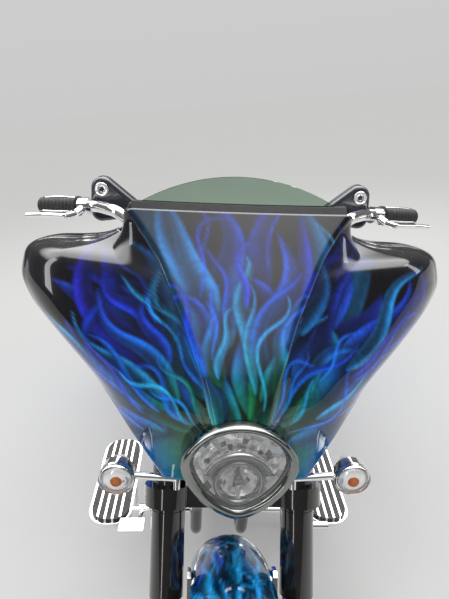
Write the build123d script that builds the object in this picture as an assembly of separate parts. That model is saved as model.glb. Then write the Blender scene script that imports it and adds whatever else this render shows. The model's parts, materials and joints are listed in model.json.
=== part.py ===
from build123d import *
import os
from math import sin, cos, tan, radians, sqrt

# Cruiser motorcycle with a fork-mounted fairing, parked on its side stand.
# Millimetres. It is modelled upright: X to the rider's left, Y to the rear, Z up,
# with Y = 0 halfway between the axles. At the end it leans onto its stand.

# Driving dimensions
WHEELBASE = 1670.0
LEAN = 7.0
RAKE = 29.0
TRAIL = 142.0
FRONT_Y = -WHEELBASE / 2
REAR_Y = WHEELBASE / 2
FIT = 0.3
RUNNING = 6.0
AXLE_R = 12.5
AXLE_BORE = 6.0

# Wheels
FRONT_TYRE_R = 319.6
FRONT_TYRE_W = 130.0
FRONT_CROWN = 76.0
FRONT_RIM_R = 228.6
FRONT_BEAD = 45.0
REAR_TYRE_R = 311.2
REAR_TYRE_W = 180.0
REAR_CROWN = 118.0
REAR_RIM_R = 203.2
REAR_BEAD = 64.0
SPOKES = 10
SPOKE_W = 26.0
SPOKE_THICK = 15.0
HUB_R = 34.0
TYRE_WALL = 15.0
FLANGE = 11.0


def axle_height(tyre_r, crown):
    """Height of a leaning wheel's centre when its tyre touches the ground."""
    return (tyre_r - crown) + crown / cos(radians(LEAN))


FRONT_Z = axle_height(FRONT_TYRE_R, FRONT_CROWN)
REAR_Z = axle_height(REAR_TYRE_R, REAR_CROWN)

# Fork, measured along its legs from the front axle
LEG_X = 120.0
LEG_R = 31.0
SLIDER_R = 21.5
LEG_BOTTOM = 263.0
LEG_TOP = 690.0
SLIDER_TOP = 330.0
COLLAR_S = 250.0
CLAMP_LOW = 425.0
CLAMP_THICK = 36.0
CLAMP_HIGH = 654.0
CLAMP_WALL = 13.0
STEM_R = 15.0
HEAD_R = 33.0
HEAD_BORE = 18.0
BEARING = 14.0
LUG_IN = 98.0
LUG_OUT = 142.0
AXIS_OFFSET = FRONT_Z * sin(radians(RAKE)) - TRAIL * cos(radians(RAKE))

# Frame and swing arm
RAIL_X = 68.0
RAIL_R = 17.0
RAIL_Z = 168.0
BACKBONE_R = 26.0
UPRIGHT_Y = 400.0
SEAT_RAIL_Z = 612.0
PIVOT_Y = 418.0
PIVOT_Z = 300.0
PIVOT_R = 14.0
ARM_IN = 128.0
ARM_THICK = 22.0
ARM_HALF = 26.0
ARM_END = 24.0
STRUT_LOW = 612.0
STRUT_HIGH = STRUT_LOW + 28
STRUT_WALL = 12.0
SHOCK_X = 178.0
SHOCK_AHEAD_TOP = 195.0
SHOCK_AHEAD_FOOT = 93.0
SHOCK_TOP_Z = 622.0

# Engine
CRANK_Y = -20.0
CRANK_Z = 335.0
CASE_R = 140.0
CASE_HALF = 80.0
CYLINDER_ANGLE = 25.0
DECK = 150.0
BARREL_R = 52.0
FIN_R = 70.0
FINS = 9
FIN_PITCH = 10.0
FIN_THICK = 4.5
HEAD_BASE = 268.0
HEAD_FINS = 4
HEAD_FIN_X = 72.0
HEAD_FIN_Y = 74.0
ROCKER_BASE = 322.0
ROCKER_TOP = 352.0
PORT_S = 292.0
TUBE_X = -91.0
TUBE_Y = 20.0
TUBE_R = 7.5
TUBE_BASE = 122.0
INTAKE_Z = 560.0
CLEANER_IN = -108.0
CLEANER_OUT = -168.0
CLEANER_R = 84.0
PRIMARY_IN = 127.0
PRIMARY_OUT = 184.0
PRIMARY_FRONT_R = 108.0
PRIMARY_REAR_R = 92.0
GEARBOX_REAR = 312.0
GEARBOX_Z = 305.0
GEARBOX_TALL = 216.0
PULLEY_Y = 225.0
PULLEY_Z = 330.0
PULLEY_R = 42.0
REAR_PULLEY_R = 110.0
BELT_IN = 97.0
BELT_OUT = 121.0
BELT_THICK = 7.0

# Brake discs
FRONT_HUB = 78.0
REAR_HUB = 96.0
DISC_THICK = 5.0
FRONT_DISC_R = 150.0
REAR_DISC_R = 146.0

# Fenders: gap over the tyre, half width, drop of the crown to the edge, skirt below that
FENDER_THICK = 4.0
FRONT_FENDER_GAP = 18.4
FRONT_FENDER_HALF = 76.0
FRONT_FENDER_DROP = 50.0
FRONT_FENDER_SKIRT = 22.0
REAR_FENDER_GAP = 20.8
REAR_FENDER_HALF = 104.0
REAR_FENDER_DROP = 38.0
REAR_FENDER_SKIRT = 74.0
FRONT_FENDER_R = FRONT_TYRE_R + FRONT_FENDER_GAP + FENDER_THICK
REAR_FENDER_R = REAR_TYRE_R + REAR_FENDER_GAP + FENDER_THICK

# Tank and seat
TANK_ROWS = (
    # y, half width, underside, top
    (-330, 46, 730, 812), (-240, 118, 668, 846), (-90, 168, 646, 856), (60, 150, 652, 820),
    (150, 84, 668, 758))
TUNNEL_HALF = 34.0
TUNNEL_TOP = 790.0
TANK_FLOOR = 688.0
TANK_FLOOR_HALF = 106.0
TANK_MOUNT_Y = -200.0
CAP_X = 62.0
CAP_Y = -110.0
CAP_TOP = 868.0
CAP_R = 34.0
SEAT_FRONT = 165.0
SEAT_HALF = 150.0
SEAT_STEP = REAR_Y - 290
SEAT_REAR = REAR_Y - 23
SEAT_CORNER = 60.0

# Boards and foot controls
BOARD_IN = 248.0
BOARD_OUT = 366.0
BOARD_FRONT = -355.0
BOARD_REAR = -20.0
BOARD_Z = 300.0
BOARD_THICK = 14.0
BOARD_CORNER = 50.0
BOARD_RIM = 8.0
RUBBER_THICK = 8.0
RIBS = 4
RIB_W = 6.0
ARM_Y = -290.0
REAR_ARM_Y = -170.0
ARM_R = 10.0
ARM_Z = BOARD_Z - 6
LEVER_X = 222.0
LEVER_AHEAD = 92.0
LEVER_RISE = 44.0

# Saddlebags
BAG_IN = 212.0
BAG_OUT = 470.0
BAG_FRONT = REAR_Y - 235
BAG_REAR = REAR_Y + 420
BAG_LOW = 345.0
BAG_RIM = 600.0
LID_GAP = 5.0
LID_HIGH = BAG_RIM + 72
BAG_WALL = 6.0
BAG_CORNER = 50.0
LID_ROUND = 24.0
HINGE_OUT = 5.0
HINGE_R = 4.7
HINGE_PIN = 2.0
HINGE_INSET = 150.0
BRACKET_Z = BAG_RIM - 34
BRACKET_TALL = 18.0

# Mufflers
MUFFLER_X = 262.0
MUFFLER_Z = 236.0
MUFFLER_R = 48.0
MUFFLER_FRONT = PIVOT_Y + 52
MUFFLER_REAR = REAR_Y + 355
PIPE_R = 21.0
CROSS_R = 18.0

# Side stand: the leg swings about a bolt on the left rail
STAND_PIVOT = (116.0, -60.0, 196.0)
STAND_FOOT = (300.0, -140.0)
STAND_FOLD = (0.05, 1.0, -0.05)
STAND_R = 11.0
STAND_EYE = 12.0
STAND_BOLT = 6.0

# Fairing, measured from the front axle. One row for each height: height, centre panel's y,
# its half width, step back beside it, second panel's start x and y, its end x and y,
# wing edge x and y, radius of the rolled edge
FAIRING_ROWS = (
    (456, 185, 20, 4, 30, 186, 60, 186, 122, 184, 12),
    (507, 185, 26, 5, 40, 190, 72, 196, 183, 238, 16),
    (580, 159, 38, 8, 61, 185, 92, 196, 260, 310, 26),
    (640, 193, 55, 14, 85, 223, 155, 247, 351, 380, 34),
    (680, 227, 74, 18, 113, 265, 200, 290, 405, 423, 38),
    (720, 262, 92, 22, 139, 302, 243, 332, 430, 447, 40),
    (770, 305, 122, 28, 182, 347, 306, 383, 421, 463, 40),
    (806, 337, 143, 30, 216, 377, 338, 410, 375, 463, 36),
    (848, 373, 178, 26, 236, 410, 258, 423, 272, 450, 24),
    (872, 394, 204, 20, 214, 420, 221, 427, 232, 437, 16),
)
PANEL_R = 2400.0
FAIRING_WALL = 7.0
FAIRING_TOP = FAIRING_ROWS[-1][0]
WING_BULGE = 0.1
DASH_FROM = 3
DASH_THICK = 7.0
PEG_X = 100.0
PEG_S = 601.0

# Headlamp, from the front axle
LAMP_UP = 530.0
LAMP_BACK = 127.0
LAMP_DEPTH = 66.0
LAMP_HALF = 98.0
LAMP_TILT = 8.0
LAMP_TOP = 72.0
LAMP_BOTTOM = -104.0
LAMP_RIM = 11.0
CORE_R = 45.0
CORE_DROP = 17.0

# Windscreen, on the fairing's top edge
SCREEN_SLOPE = 38.0
SCREEN_THICK = 4.0
SCREEN_HALF = 192.0
SCREEN_RISE = 58.0
TRIM_THICK = 6.0
TRIM_TALL = 14.0

# Handlebar, from the front axle, with its risers in the fork's own frame
RISER_X = 45.0
RISER_Y = 42.0
RISER_TOP = 800.0
RISER_R = 15.0
BAR_R = 12.7
GRIP_R = 18.0
GRIP_LENGTH = 112.0
BAR_BENDS = ((140, 459, 786), (250, 535, 838), (300, 595, 833), (444, 663, 816))
BAR_RADII = (40, 45, 60, 60)
PERCH = 17.0

# Mirrors, from the front axle
MIRROR_X = 298.0
MIRROR_BACK = 656.0
MIRROR_UP = 862.0
MIRROR_HALF = 15.0

# Signals, from the front axle
SIGNAL_X = 207.0
SIGNAL_BACK = 180.0
SIGNAL_UP = 454.0
SIGNAL_R = 30.0
STALK_R = 7.0

# Rear lamps, as angles about the rear axle above the rear level
TAIL_ANGLE = 40.0
TAIL_HALF = 60.0
TAIL_DEEP = 44.0
BAR_ANGLE = 27.0
BAR_HALF = 165.0
REAR_SIGNAL_R = 28.0

nodes = {}


# Helpers

def rod(start, end, radius):
    """Cylinder from one point to another."""
    start, end = Vector(*start), Vector(*end)
    return Solid.make_cylinder(radius, (end - start).length, Plane(origin=start, z_dir=end - start))


def block(low, high):
    """Box between two corners."""
    size = [b - a for a, b in zip(low, high)]
    return Pos(*low) * Box(*size, align=(Align.MIN, Align.MIN, Align.MIN))


def side_block(side, low_x, high_x, low_y, high_y, low_z, high_z):
    """Box on one side of the machine, given by its distances from the middle."""
    near, far = sorted((side * low_x, side * high_x))
    return block((near, low_y, low_z), (far, high_y, high_z))


def pipe(points, bend, radius):
    """Round tube along straight runs joined by arcs."""
    path = FilletPolyline(*points, radius=bend)
    section = Plane(origin=path @ 0, z_dir=path % 0) * Circle(radius)
    return sweep(section, path=path)


def side_slab(face, x_low, x_high):
    """Plate of a (y, z) outline from x_low to x_high."""
    return extrude(Plane.YZ.offset(x_low) * face, x_high - x_low, dir=(1, 0, 0))


def drum(x_low, x_high, radius, y, z):
    """Cylinder across the machine."""
    return rod((x_low, y, z), (x_high, y, z), radius)


def both(shape):
    """The shape and its mirror image on the other side, as separate solids."""
    return [shape, mirror(shape, about=Plane.YZ)]


def add(name, shapes):
    """Store a node made of one or more solids."""
    shapes = shapes if isinstance(shapes, (list, tuple)) else [shapes]
    nodes[name] = [solid for shape in shapes for solid in shape.solids()]


# The fork's own frame: z along the legs from the axle, y to the rear
FORK = Pos(0, FRONT_Y, FRONT_Z) * Rot(-RAKE, 0, 0)
FRONT_AXLE = Pos(0, FRONT_Y, FRONT_Z)
REAR_AXLE = Pos(0, REAR_Y, REAR_Z)


def in_fork(x, y, s):
    """Point of the upright machine from fork coordinates."""
    a = radians(RAKE)
    return (x, FRONT_Y + y * cos(a) + s * sin(a), FRONT_Z - y * sin(a) + s * cos(a))


def from_axle(x, back, up):
    """Point of the upright machine, measured from the front axle."""
    return (x, FRONT_Y + back, FRONT_Z + up)


# Wheels

def tyre(radius, width, crown, rim_r, bead):
    """Hollow tyre: crown arc, sidewall arcs and bead faces."""
    edge_x = width / 2 * 0.86
    edge_r = radius - crown + sqrt(crown ** 2 - edge_x ** 2)
    side_r = (edge_r + rim_r) / 2 + 4
    seat = rim_r + FIT
    toe = rim_r + FLANGE + 2
    inner = bead - TYRE_WALL
    outline = (
        Line((bead, seat), (bead, toe))
        + ThreePointArc((bead, toe), (width / 2, side_r), (edge_x, edge_r))
        + ThreePointArc((edge_x, edge_r), (0, radius), (-edge_x, edge_r))
        + ThreePointArc((-edge_x, edge_r), (-width / 2, side_r), (-bead, toe))
        + Line((-bead, toe), (-bead, seat))
        + Line((-bead, seat), (-inner, seat))
        + ThreePointArc((-inner, seat), (0, radius - TYRE_WALL), (inner, seat))
        + Line((inner, seat), (bead, seat))
    )
    return revolve(Plane.XZ * make_face(outline), Axis.X)


def rim(rim_r, bead, hub_half):
    """Cast wheel: barrel with flanges, hub and tapered spokes."""
    lip = bead + FIT
    drop = 18.0
    half = [(12, rim_r - drop), (bead - drop, rim_r - 2), (lip, rim_r), (lip, rim_r + FLANGE),
            (lip + 6, rim_r + FLANGE), (lip + 6, rim_r - 10), (drop, rim_r - drop - 10)]
    other = [(-x, r) for x, r in reversed(half)]
    barrel = revolve(Plane.XZ * Polygon(*half, *other, align=None), Axis.X)
    wheel = barrel + drum(-hub_half, hub_half, HUB_R, 0, 0)
    root, tip = HUB_R - 6, rim_r - drop - 5
    spoke = extrude(Plane.YZ * Polygon(
        (-SPOKE_THICK * 0.75, root), (SPOKE_THICK * 0.75, root), (SPOKE_THICK / 2, tip),
        (-SPOKE_THICK / 2, tip), align=None), SPOKE_W / 2, both=True)
    for i in range(SPOKES):
        wheel += Rot(360 / SPOKES * i, 0, 0) * spoke
    return wheel - drum(-hub_half - 1, hub_half + 1, AXLE_R + FIT, 0, 0)


def disc(x_low, radius, windows=8):
    """Brake disc with round windows."""
    x_high = x_low + DISC_THICK
    plate = drum(x_low, x_high, radius, 0, 0) - drum(x_low - 1, x_high + 1, AXLE_R + 2, 0, 0)
    hole = drum(x_low - 1, x_high + 1, radius / 10, radius * 0.42, 0)
    for i in range(windows):
        plate -= Rot(360 / windows * i, 0, 0) * hole
    return plate


def build_wheels():
    front = tyre(FRONT_TYRE_R, FRONT_TYRE_W, FRONT_CROWN, FRONT_RIM_R, FRONT_BEAD)
    add("front_tyre", FRONT_AXLE * front)
    add("front_rim", FRONT_AXLE * rim(FRONT_RIM_R, FRONT_BEAD, FRONT_HUB))
    discs = [disc(FRONT_HUB, FRONT_DISC_R), disc(-FRONT_HUB - DISC_THICK, FRONT_DISC_R)]
    add("front_discs", [FRONT_AXLE * plate for plate in discs])
    add("rear_tyre", REAR_AXLE * tyre(REAR_TYRE_R, REAR_TYRE_W, REAR_CROWN, REAR_RIM_R, REAR_BEAD))
    add("rear_rim", REAR_AXLE * rim(REAR_RIM_R, REAR_BEAD, REAR_HUB))
    add("rear_disc", REAR_AXLE * disc(-REAR_HUB - DISC_THICK, REAR_DISC_R))
    pulley = drum(REAR_HUB, BELT_OUT + 2, REAR_PULLEY_R - BELT_THICK - 5, 0, 0)
    pulley -= drum(REAR_HUB - 1, BELT_OUT + 3, AXLE_R + 2, 0, 0)
    window = drum(REAR_HUB - 1, BELT_OUT + 3, 15, REAR_PULLEY_R * 0.55, 0)
    for i in range(6):
        pulley -= Rot(60 * i, 0, 0) * window
    add("rear_pulley", REAR_AXLE * pulley)


# Fork

def build_fork():
    tube = rod((LEG_X, 0, LEG_BOTTOM), (LEG_X, 0, LEG_TOP), LEG_R)
    tube -= rod((LEG_X, 0, LEG_BOTTOM - 1), (LEG_X, 0, SLIDER_TOP + 10), SLIDER_R + FIT)
    tube -= rod((LEG_X, 0, CLAMP_LOW - 10), (LEG_X, 0, CLAMP_LOW - 7), LEG_R + 1) \
        - rod((LEG_X, 0, CLAMP_LOW - 11), (LEG_X, 0, CLAMP_LOW - 6), LEG_R - 1.5)
    add("fork_tubes", both(FORK * tube))

    slider = rod((LEG_X, 0, 20), (LEG_X, 0, SLIDER_TOP), SLIDER_R)
    slider += rod((LEG_X, 0, COLLAR_S - 12), (LEG_X, 0, COLLAR_S), SLIDER_R + 5)
    slider += block((LUG_IN, -26, -32), (LUG_OUT, 26, 60))
    slider += block((LUG_IN + FIT, 10, 90), (LEG_X + 10, 60, 150))
    slider -= drum(LUG_IN - 5, LUG_OUT + 5, AXLE_R + FIT, 0, 0)
    add("fork_sliders", both(FORK * slider))

    def clamp(low):
        high = low + CLAMP_THICK
        plate = block((-LEG_X, -28, low), (LEG_X, AXIS_OFFSET + 26, high))
        for x in (LEG_X, -LEG_X):
            plate += rod((x, 0, low), (x, 0, high), LEG_R + CLAMP_WALL)
            plate -= rod((x, 0, low - 1), (x, 0, high + 1), LEG_R + FIT)
        return plate

    clamps = clamp(CLAMP_LOW) + clamp(CLAMP_HIGH)
    clamps += rod((0, AXIS_OFFSET, CLAMP_LOW), (0, AXIS_OFFSET, CLAMP_HIGH + CLAMP_THICK), STEM_R)
    for low in (CLAMP_LOW + CLAMP_THICK + RUNNING, CLAMP_HIGH - RUNNING - BEARING):
        clamps += rod((0, AXIS_OFFSET, low), (0, AXIS_OFFSET, low + BEARING), HEAD_BORE - FIT)
    add("fork_clamps", FORK * clamps)

    end = LUG_OUT + 6
    axle = drum(-end, end, AXLE_R, 0, 0) - drum(-end - 3, end + 3, AXLE_BORE, 0, 0)
    add("front_axle", FORK * axle)

    caliper = block((66, 28, 76), (LUG_IN, 92, 176))
    caliper -= drum(FRONT_HUB - 5, FRONT_HUB + DISC_THICK + 5, FRONT_DISC_R + 5, 0, 0)
    caliper = fillet(caliper.edges().filter_by(Axis.X), 5)
    add("front_calipers", both(FORK * caliper))


def fender_arc(radius, half, drop, skirt, sweep_angle):
    """Crowned fender about the wheel centre, turned forward from the top."""
    t = FENDER_THICK
    low = radius - drop - skirt
    outline = (
        Line((-half, low), (-half, radius - drop))
        + ThreePointArc((-half, radius - drop), (0, radius), (half, radius - drop))
        + Line((half, radius - drop), (half, low)) + Line((half, low), (half - t, low))
        + Line((half - t, low), (half - t, radius - drop))
        + ThreePointArc((half - t, radius - drop), (0, radius - t), (t - half, radius - drop))
        + Line((t - half, radius - drop), (t - half, low)) + Line((t - half, low), (-half, low))
    )
    return revolve(Plane.XZ * make_face(outline), Axis.X, sweep_angle)


def build_fenders():
    front = fender_arc(FRONT_FENDER_R, FRONT_FENDER_HALF, FRONT_FENDER_DROP, FRONT_FENDER_SKIRT, 128)
    front = FRONT_AXLE * Rot(-72, 0, 0) * front
    low = FRONT_FENDER_R - FRONT_FENDER_DROP - FRONT_FENDER_SKIRT + 6
    for side in (1, -1):
        near, foot = FRONT_FENDER_HALF - 1, COLLAR_S - 45
        plate = side_block(side, near, FRONT_FENDER_HALF + 6, -17, 17, foot, low + 30)
        plate += side_block(side, near, LEG_X - SLIDER_R - FIT, -17, 17, foot, COLLAR_S - 15)
        front += FORK * plate
    add("front_fender", front)
    rear = fender_arc(REAR_FENDER_R, REAR_FENDER_HALF, REAR_FENDER_DROP, REAR_FENDER_SKIRT, 151)
    add("rear_fender", REAR_AXLE * Rot(-98, 0, 0) * rear)


# Frame and swing arm

NECK = in_fork(0, AXIS_OFFSET, 530)
SPINE_BEND = (0, 110, 712)


def spine(radius):
    """Main tube of the frame, from the steering head down to the seat rails."""
    return pipe((NECK, SPINE_BEND, (0, 250, 646), (0, UPRIGHT_Y + 40, SEAT_RAIL_Z - 6)), 90, radius)


def spine_height(y):
    """Height of the main tube's middle over its first run."""
    share = (y - NECK[1]) / (SPINE_BEND[1] - NECK[1])
    return NECK[2] + share * (SPINE_BEND[2] - NECK[2])


def arm_top(y):
    """Height of the swing arm's upper edge."""
    share = (y - PIVOT_Y + ARM_HALF) / (REAR_Y + 40 - PIVOT_Y + ARM_HALF)
    return PIVOT_Z + ARM_HALF + share * (REAR_Z + ARM_END - PIVOT_Z - ARM_HALF)


STAND_LEG = Vector(STAND_FOOT[0], STAND_FOOT[1], STAND_FOOT[0] * tan(radians(LEAN))) - Vector(*STAND_PIVOT)
STAND_AXIS = STAND_LEG.cross(Vector(*STAND_FOLD)).normalized()


def on_bolt(distance):
    """Point on the side stand's bolt, from its middle."""
    return tuple(Vector(*STAND_PIVOT) + STAND_AXIS * distance)


def build_frame():
    head_low = CLAMP_LOW + CLAMP_THICK + RUNNING
    head_high = CLAMP_HIGH - RUNNING
    frame = FORK * rod((0, AXIS_OFFSET, head_low), (0, AXIS_OFFSET, head_high), HEAD_R)
    frame += spine(BACKBONE_R)
    under_neck = in_fork(0, AXIS_OFFSET + 8, 512)
    strut_in = REAR_FENDER_HALF + FIT
    strut_out = strut_in + STRUT_WALL
    for side in (1, -1):
        x = side * RAIL_X
        frame += pipe((
            (side * 22, under_neck[1], under_neck[2]), (x, -300, 330), (x, -266, RAIL_Z),
            (x, UPRIGHT_Y, RAIL_Z), (x, UPRIGHT_Y + 40, SEAT_RAIL_Z),
            (x, REAR_Y - SHOCK_AHEAD_TOP, SEAT_RAIL_Z + 22)),
            (90, 60, 70, 60), RAIL_R)
        frame += side_block(side, RAIL_X - 18, RAIL_X + 18, PIVOT_Y - 30, PIVOT_Y + 30,
                            PIVOT_Z - 34, PIVOT_Z + 34)
        frame += side_block(side, strut_in, strut_out, REAR_Y - 295, REAR_Y + 125, STRUT_LOW, STRUT_HIGH)
        frame += side_block(side, RAIL_X, strut_out, REAR_Y - 290, REAR_Y - 260,
                            STRUT_LOW + 2, STRUT_HIGH - 2)
        for y in (REAR_Y - 115, REAR_Y + 65):
            top = BRACKET_Z + BRACKET_TALL
            low, high = min(BRACKET_Z, STRUT_LOW), max(top, STRUT_HIGH)
            frame += side_block(side, strut_in, strut_out, y - 14, y + 14, low, high)
            frame += side_block(side, strut_in, BAG_IN - FIT, y - 14, y + 14, BRACKET_Z, top)
    frame += drum(-RAIL_X, RAIL_X, 14, UPRIGHT_Y + 38, SEAT_RAIL_Z - 8)
    mount = TUNNEL_HALF - FIT
    frame += drum(-mount, mount, 9, TANK_MOUNT_Y, spine_height(TANK_MOUNT_Y))
    frame += rod(on_bolt(-56), on_bolt(-STAND_EYE - FIT), 16)
    frame += rod(on_bolt(-STAND_EYE - 8), on_bolt(STAND_EYE + FIT), STAND_BOLT)
    frame += rod(on_bolt(STAND_EYE + FIT), on_bolt(STAND_EYE + FIT + 7), 12)
    frame -= FORK * rod((0, AXIS_OFFSET, head_low - 60), (0, AXIS_OFFSET, head_high + 60), HEAD_BORE)
    frame -= drum(-RAIL_X - 40, RAIL_X + 40, PIVOT_R + FIT, PIVOT_Y, PIVOT_Z)
    add("frame", frame)

    arm = drum(-ARM_IN - ARM_THICK, ARM_IN + ARM_THICK, PIVOT_R, PIVOT_Y, PIVOT_Z)
    for side in (1, -1):
        low = ARM_IN if side > 0 else -ARM_IN - ARM_THICK
        face = Polygon(
            (PIVOT_Y - ARM_HALF, PIVOT_Z - ARM_HALF), (PIVOT_Y - ARM_HALF, PIVOT_Z + ARM_HALF),
            (REAR_Y + 40, REAR_Z + ARM_END), (REAR_Y + 40, REAR_Z - ARM_END), align=None)
        plate = side_slab(face, low, low + ARM_THICK)
        arm += fillet(plate.edges().filter_by(Axis.X), 18)
    arm -= drum(-ARM_IN - 60, ARM_IN + 60, AXLE_R + FIT, REAR_Y, REAR_Z)
    add("swing_arm", arm)
    end = ARM_IN + ARM_THICK + 8
    axle = drum(-end, end, AXLE_R, REAR_Y, REAR_Z)
    add("rear_axle", axle - drum(-end - 3, end + 3, AXLE_BORE, REAR_Y, REAR_Z))


def build_shocks():
    top_y, foot_y = REAR_Y - SHOCK_AHEAD_TOP, REAR_Y - SHOCK_AHEAD_FOOT
    shocks = []
    for side in (1, -1):
        x = side * SHOCK_X
        foot, top = Vector(x, foot_y, REAR_Z + 8), Vector(x, top_y, SHOCK_TOP_Z)
        along = (top - foot).normalized()
        reach = (top - foot).length
        body = rod(tuple(foot), tuple(top), 12)
        body += rod(tuple(foot + along * 48), tuple(foot + along * (reach - 30)), 18)
        body += rod(tuple(foot + along * (reach - 110)), tuple(foot + along * (reach - 26)), 22)
        for coil in range(7):
            low = foot + along * (60 + coil * (reach - 190) / 6)
            body += rod(tuple(low), tuple(low + along * 8), 22)
        for mount, y, z in ((REAR_FENDER_HALF + STRUT_WALL + FIT, top_y, SHOCK_TOP_Z),
                            (ARM_IN + ARM_THICK, foot_y, REAR_Z + 8)):
            body += rod((side * (mount + FIT), y, z), (x + side * 14, y, z), 9)
        shocks.append(body)
    add("shock_absorbers", shocks)


# Engine

def tilted(sign):
    """Frame of a cylinder, z up its axis from the crank; sign 1 is the rear cylinder."""
    return Pos(0, CRANK_Y, CRANK_Z) * Rot(-sign * CYLINDER_ANGLE, 0, 0)


def in_cylinder(sign, x, y, z):
    """Point given in a cylinder's frame."""
    a = radians(CYLINDER_ANGLE) * sign
    return (x, CRANK_Y + y * cos(a) + z * sin(a), CRANK_Z - y * sin(a) + z * cos(a))


def build_case():
    case = side_slab(Pos(CRANK_Y, CRANK_Z) * Circle(CASE_R), -CASE_HALF, CASE_HALF)
    gearbox = RectangleRounded(GEARBOX_REAR - CRANK_Y, GEARBOX_TALL, 40)
    case += side_slab(Pos((CRANK_Y + GEARBOX_REAR) / 2, GEARBOX_Z) * gearbox, -CASE_HALF, CASE_HALF)
    case += drum(CASE_HALF, PRIMARY_IN, 96, CRANK_Y, CRANK_Z)
    for sign in (1, -1):
        case -= tilted(sign) * block((-120, -200, DECK), (120, 200, DECK + 120))
        case += tilted(sign) * block((-62, -62, DECK - 60), (62, 62, DECK))
        lifters = block((TUBE_X - 14, -TUBE_Y - 16, 76), (-CASE_HALF + 6, TUBE_Y + 16, TUBE_BASE))
        case += tilted(sign) * lifters
    case += drum(CASE_HALF, BELT_IN, 22, PULLEY_Y, PULLEY_Z)
    for rib in range(5):
        z = 240 + 28 * rib
        case += block((-CASE_HALF - 5, 120, z), (-CASE_HALF, GEARBOX_REAR - 30, z + 8))
    for side in (1, -1):
        for y in (-80.0, 200.0):
            low = side * RAIL_X - 14
            case += block((low, y - 14, RAIL_Z + RAIL_R), (low + 28, y + 14, 230))
    filter_y = CRANK_Y - CASE_R
    case += rod((0, filter_y + 20, 300), (0, filter_y - 74, 292), 38)
    case += drum(-66, 30, 30, 215, GEARBOX_Z + GEARBOX_TALL / 2 + 14)
    return case


def build_covers():
    primary = make_hull(
        (Pos(CRANK_Y, CRANK_Z) * Circle(PRIMARY_FRONT_R)).edges()
        + (Pos(215, 318) * Circle(PRIMARY_REAR_R)).edges())
    cover = side_slab(primary, PRIMARY_IN, PRIMARY_OUT)
    cover = fillet(cover.faces().sort_by(Axis.X)[-1].edges(), 18)
    for y, z, radius in ((CRANK_Y, CRANK_Z, 44), (215, 318, 60)):
        cover += drum(PRIMARY_OUT, PRIMARY_OUT + 5, radius, y, z)
    cam = drum(-CASE_HALF - 44, -CASE_HALF, 76, CRANK_Y, CRANK_Z)
    cam = fillet(cam.faces().sort_by(Axis.X)[0].edges(), 14)
    cam += drum(-CASE_HALF - 50, -CASE_HALF - 40, 34, CRANK_Y, CRANK_Z)
    return [cover, cam]


def build_engine():
    add("crankcase", build_case())
    add("engine_covers", build_covers())

    barrels, heads, rockers, tubes = [], [], [], []
    for sign in (1, -1):
        place = tilted(sign)
        barrel = rod((0, 0, DECK), (0, 0, HEAD_BASE), BARREL_R)
        for i in range(FINS):
            z = DECK + 22 + FIN_PITCH * i
            barrel += rod((0, 0, z), (0, 0, z + FIN_THICK), FIN_R)
        barrels.append(place * barrel)
        head = block((-56, -62, HEAD_BASE), (56, 62, ROCKER_BASE))
        for i in range(HEAD_FINS):
            z = HEAD_BASE + 3 + 13 * i
            fin = block((-HEAD_FIN_X, -HEAD_FIN_Y, z), (HEAD_FIN_X, HEAD_FIN_Y, z + FIN_THICK))
            head += fillet(fin.edges().filter_by(Axis.Z), 14)
        heads.append(place * head)
        rocker = block((-100, -52, ROCKER_BASE), (66, 52, ROCKER_TOP))
        rocker = fillet(rocker.edges().filter_by(Axis.Z), 18)
        rocker = fillet(rocker.faces().sort_by(Axis.Z)[-1].edges(), 9)
        rockers.append(place * rocker)
        for y in (-TUBE_Y, TUBE_Y):
            tube = rod((TUBE_X, y, TUBE_BASE), (TUBE_X, y, ROCKER_BASE), TUBE_R)
            tube += rod((TUBE_X, y, TUBE_BASE), (TUBE_X, y, TUBE_BASE + 12), TUBE_R + 3)
            tube += rod((TUBE_X, y, ROCKER_BASE - 10), (TUBE_X, y, ROCKER_BASE), TUBE_R + 3)
            tubes.append(place * tube)
    add("cylinders", barrels)
    add("cylinder_heads", heads)
    add("rocker_boxes", rockers)
    add("pushrod_tubes", tubes)

    cleaner = drum(CLEANER_OUT, CLEANER_IN, CLEANER_R, CRANK_Y, INTAKE_Z)
    cleaner = fillet(cleaner.faces().sort_by(Axis.X)[0].edges(), 20)
    cleaner += drum(CLEANER_IN, 20, 20, CRANK_Y, INTAKE_Z)
    for sign in (1, -1):
        face = -sign * (HEAD_FIN_Y + FIT)
        near = -sign * (HEAD_FIN_Y + 20)
        cleaner += rod(in_cylinder(sign, 0, face, PORT_S), in_cylinder(sign, 0, near, PORT_S), 20)
        cleaner += rod((0, CRANK_Y, INTAKE_Z), in_cylinder(sign, 0, near, PORT_S), 15)
    add("air_cleaner", cleaner)

    def loop(radius_front, radius_rear):
        front = Pos(PULLEY_Y, PULLEY_Z) * Circle(radius_front)
        rear = Pos(REAR_Y, REAR_Z) * Circle(radius_rear)
        return make_hull(front.edges() + rear.edges())

    belt = side_slab(loop(PULLEY_R, REAR_PULLEY_R), BELT_IN, BELT_OUT)
    belt -= side_slab(loop(PULLEY_R - BELT_THICK, REAR_PULLEY_R - BELT_THICK), BELT_IN - 1, BELT_OUT + 1)
    add("drive_belt", belt)
    add("front_pulley", drum(BELT_IN, BELT_OUT, PULLEY_R - BELT_THICK - FIT, PULLEY_Y, PULLEY_Z))


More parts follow.
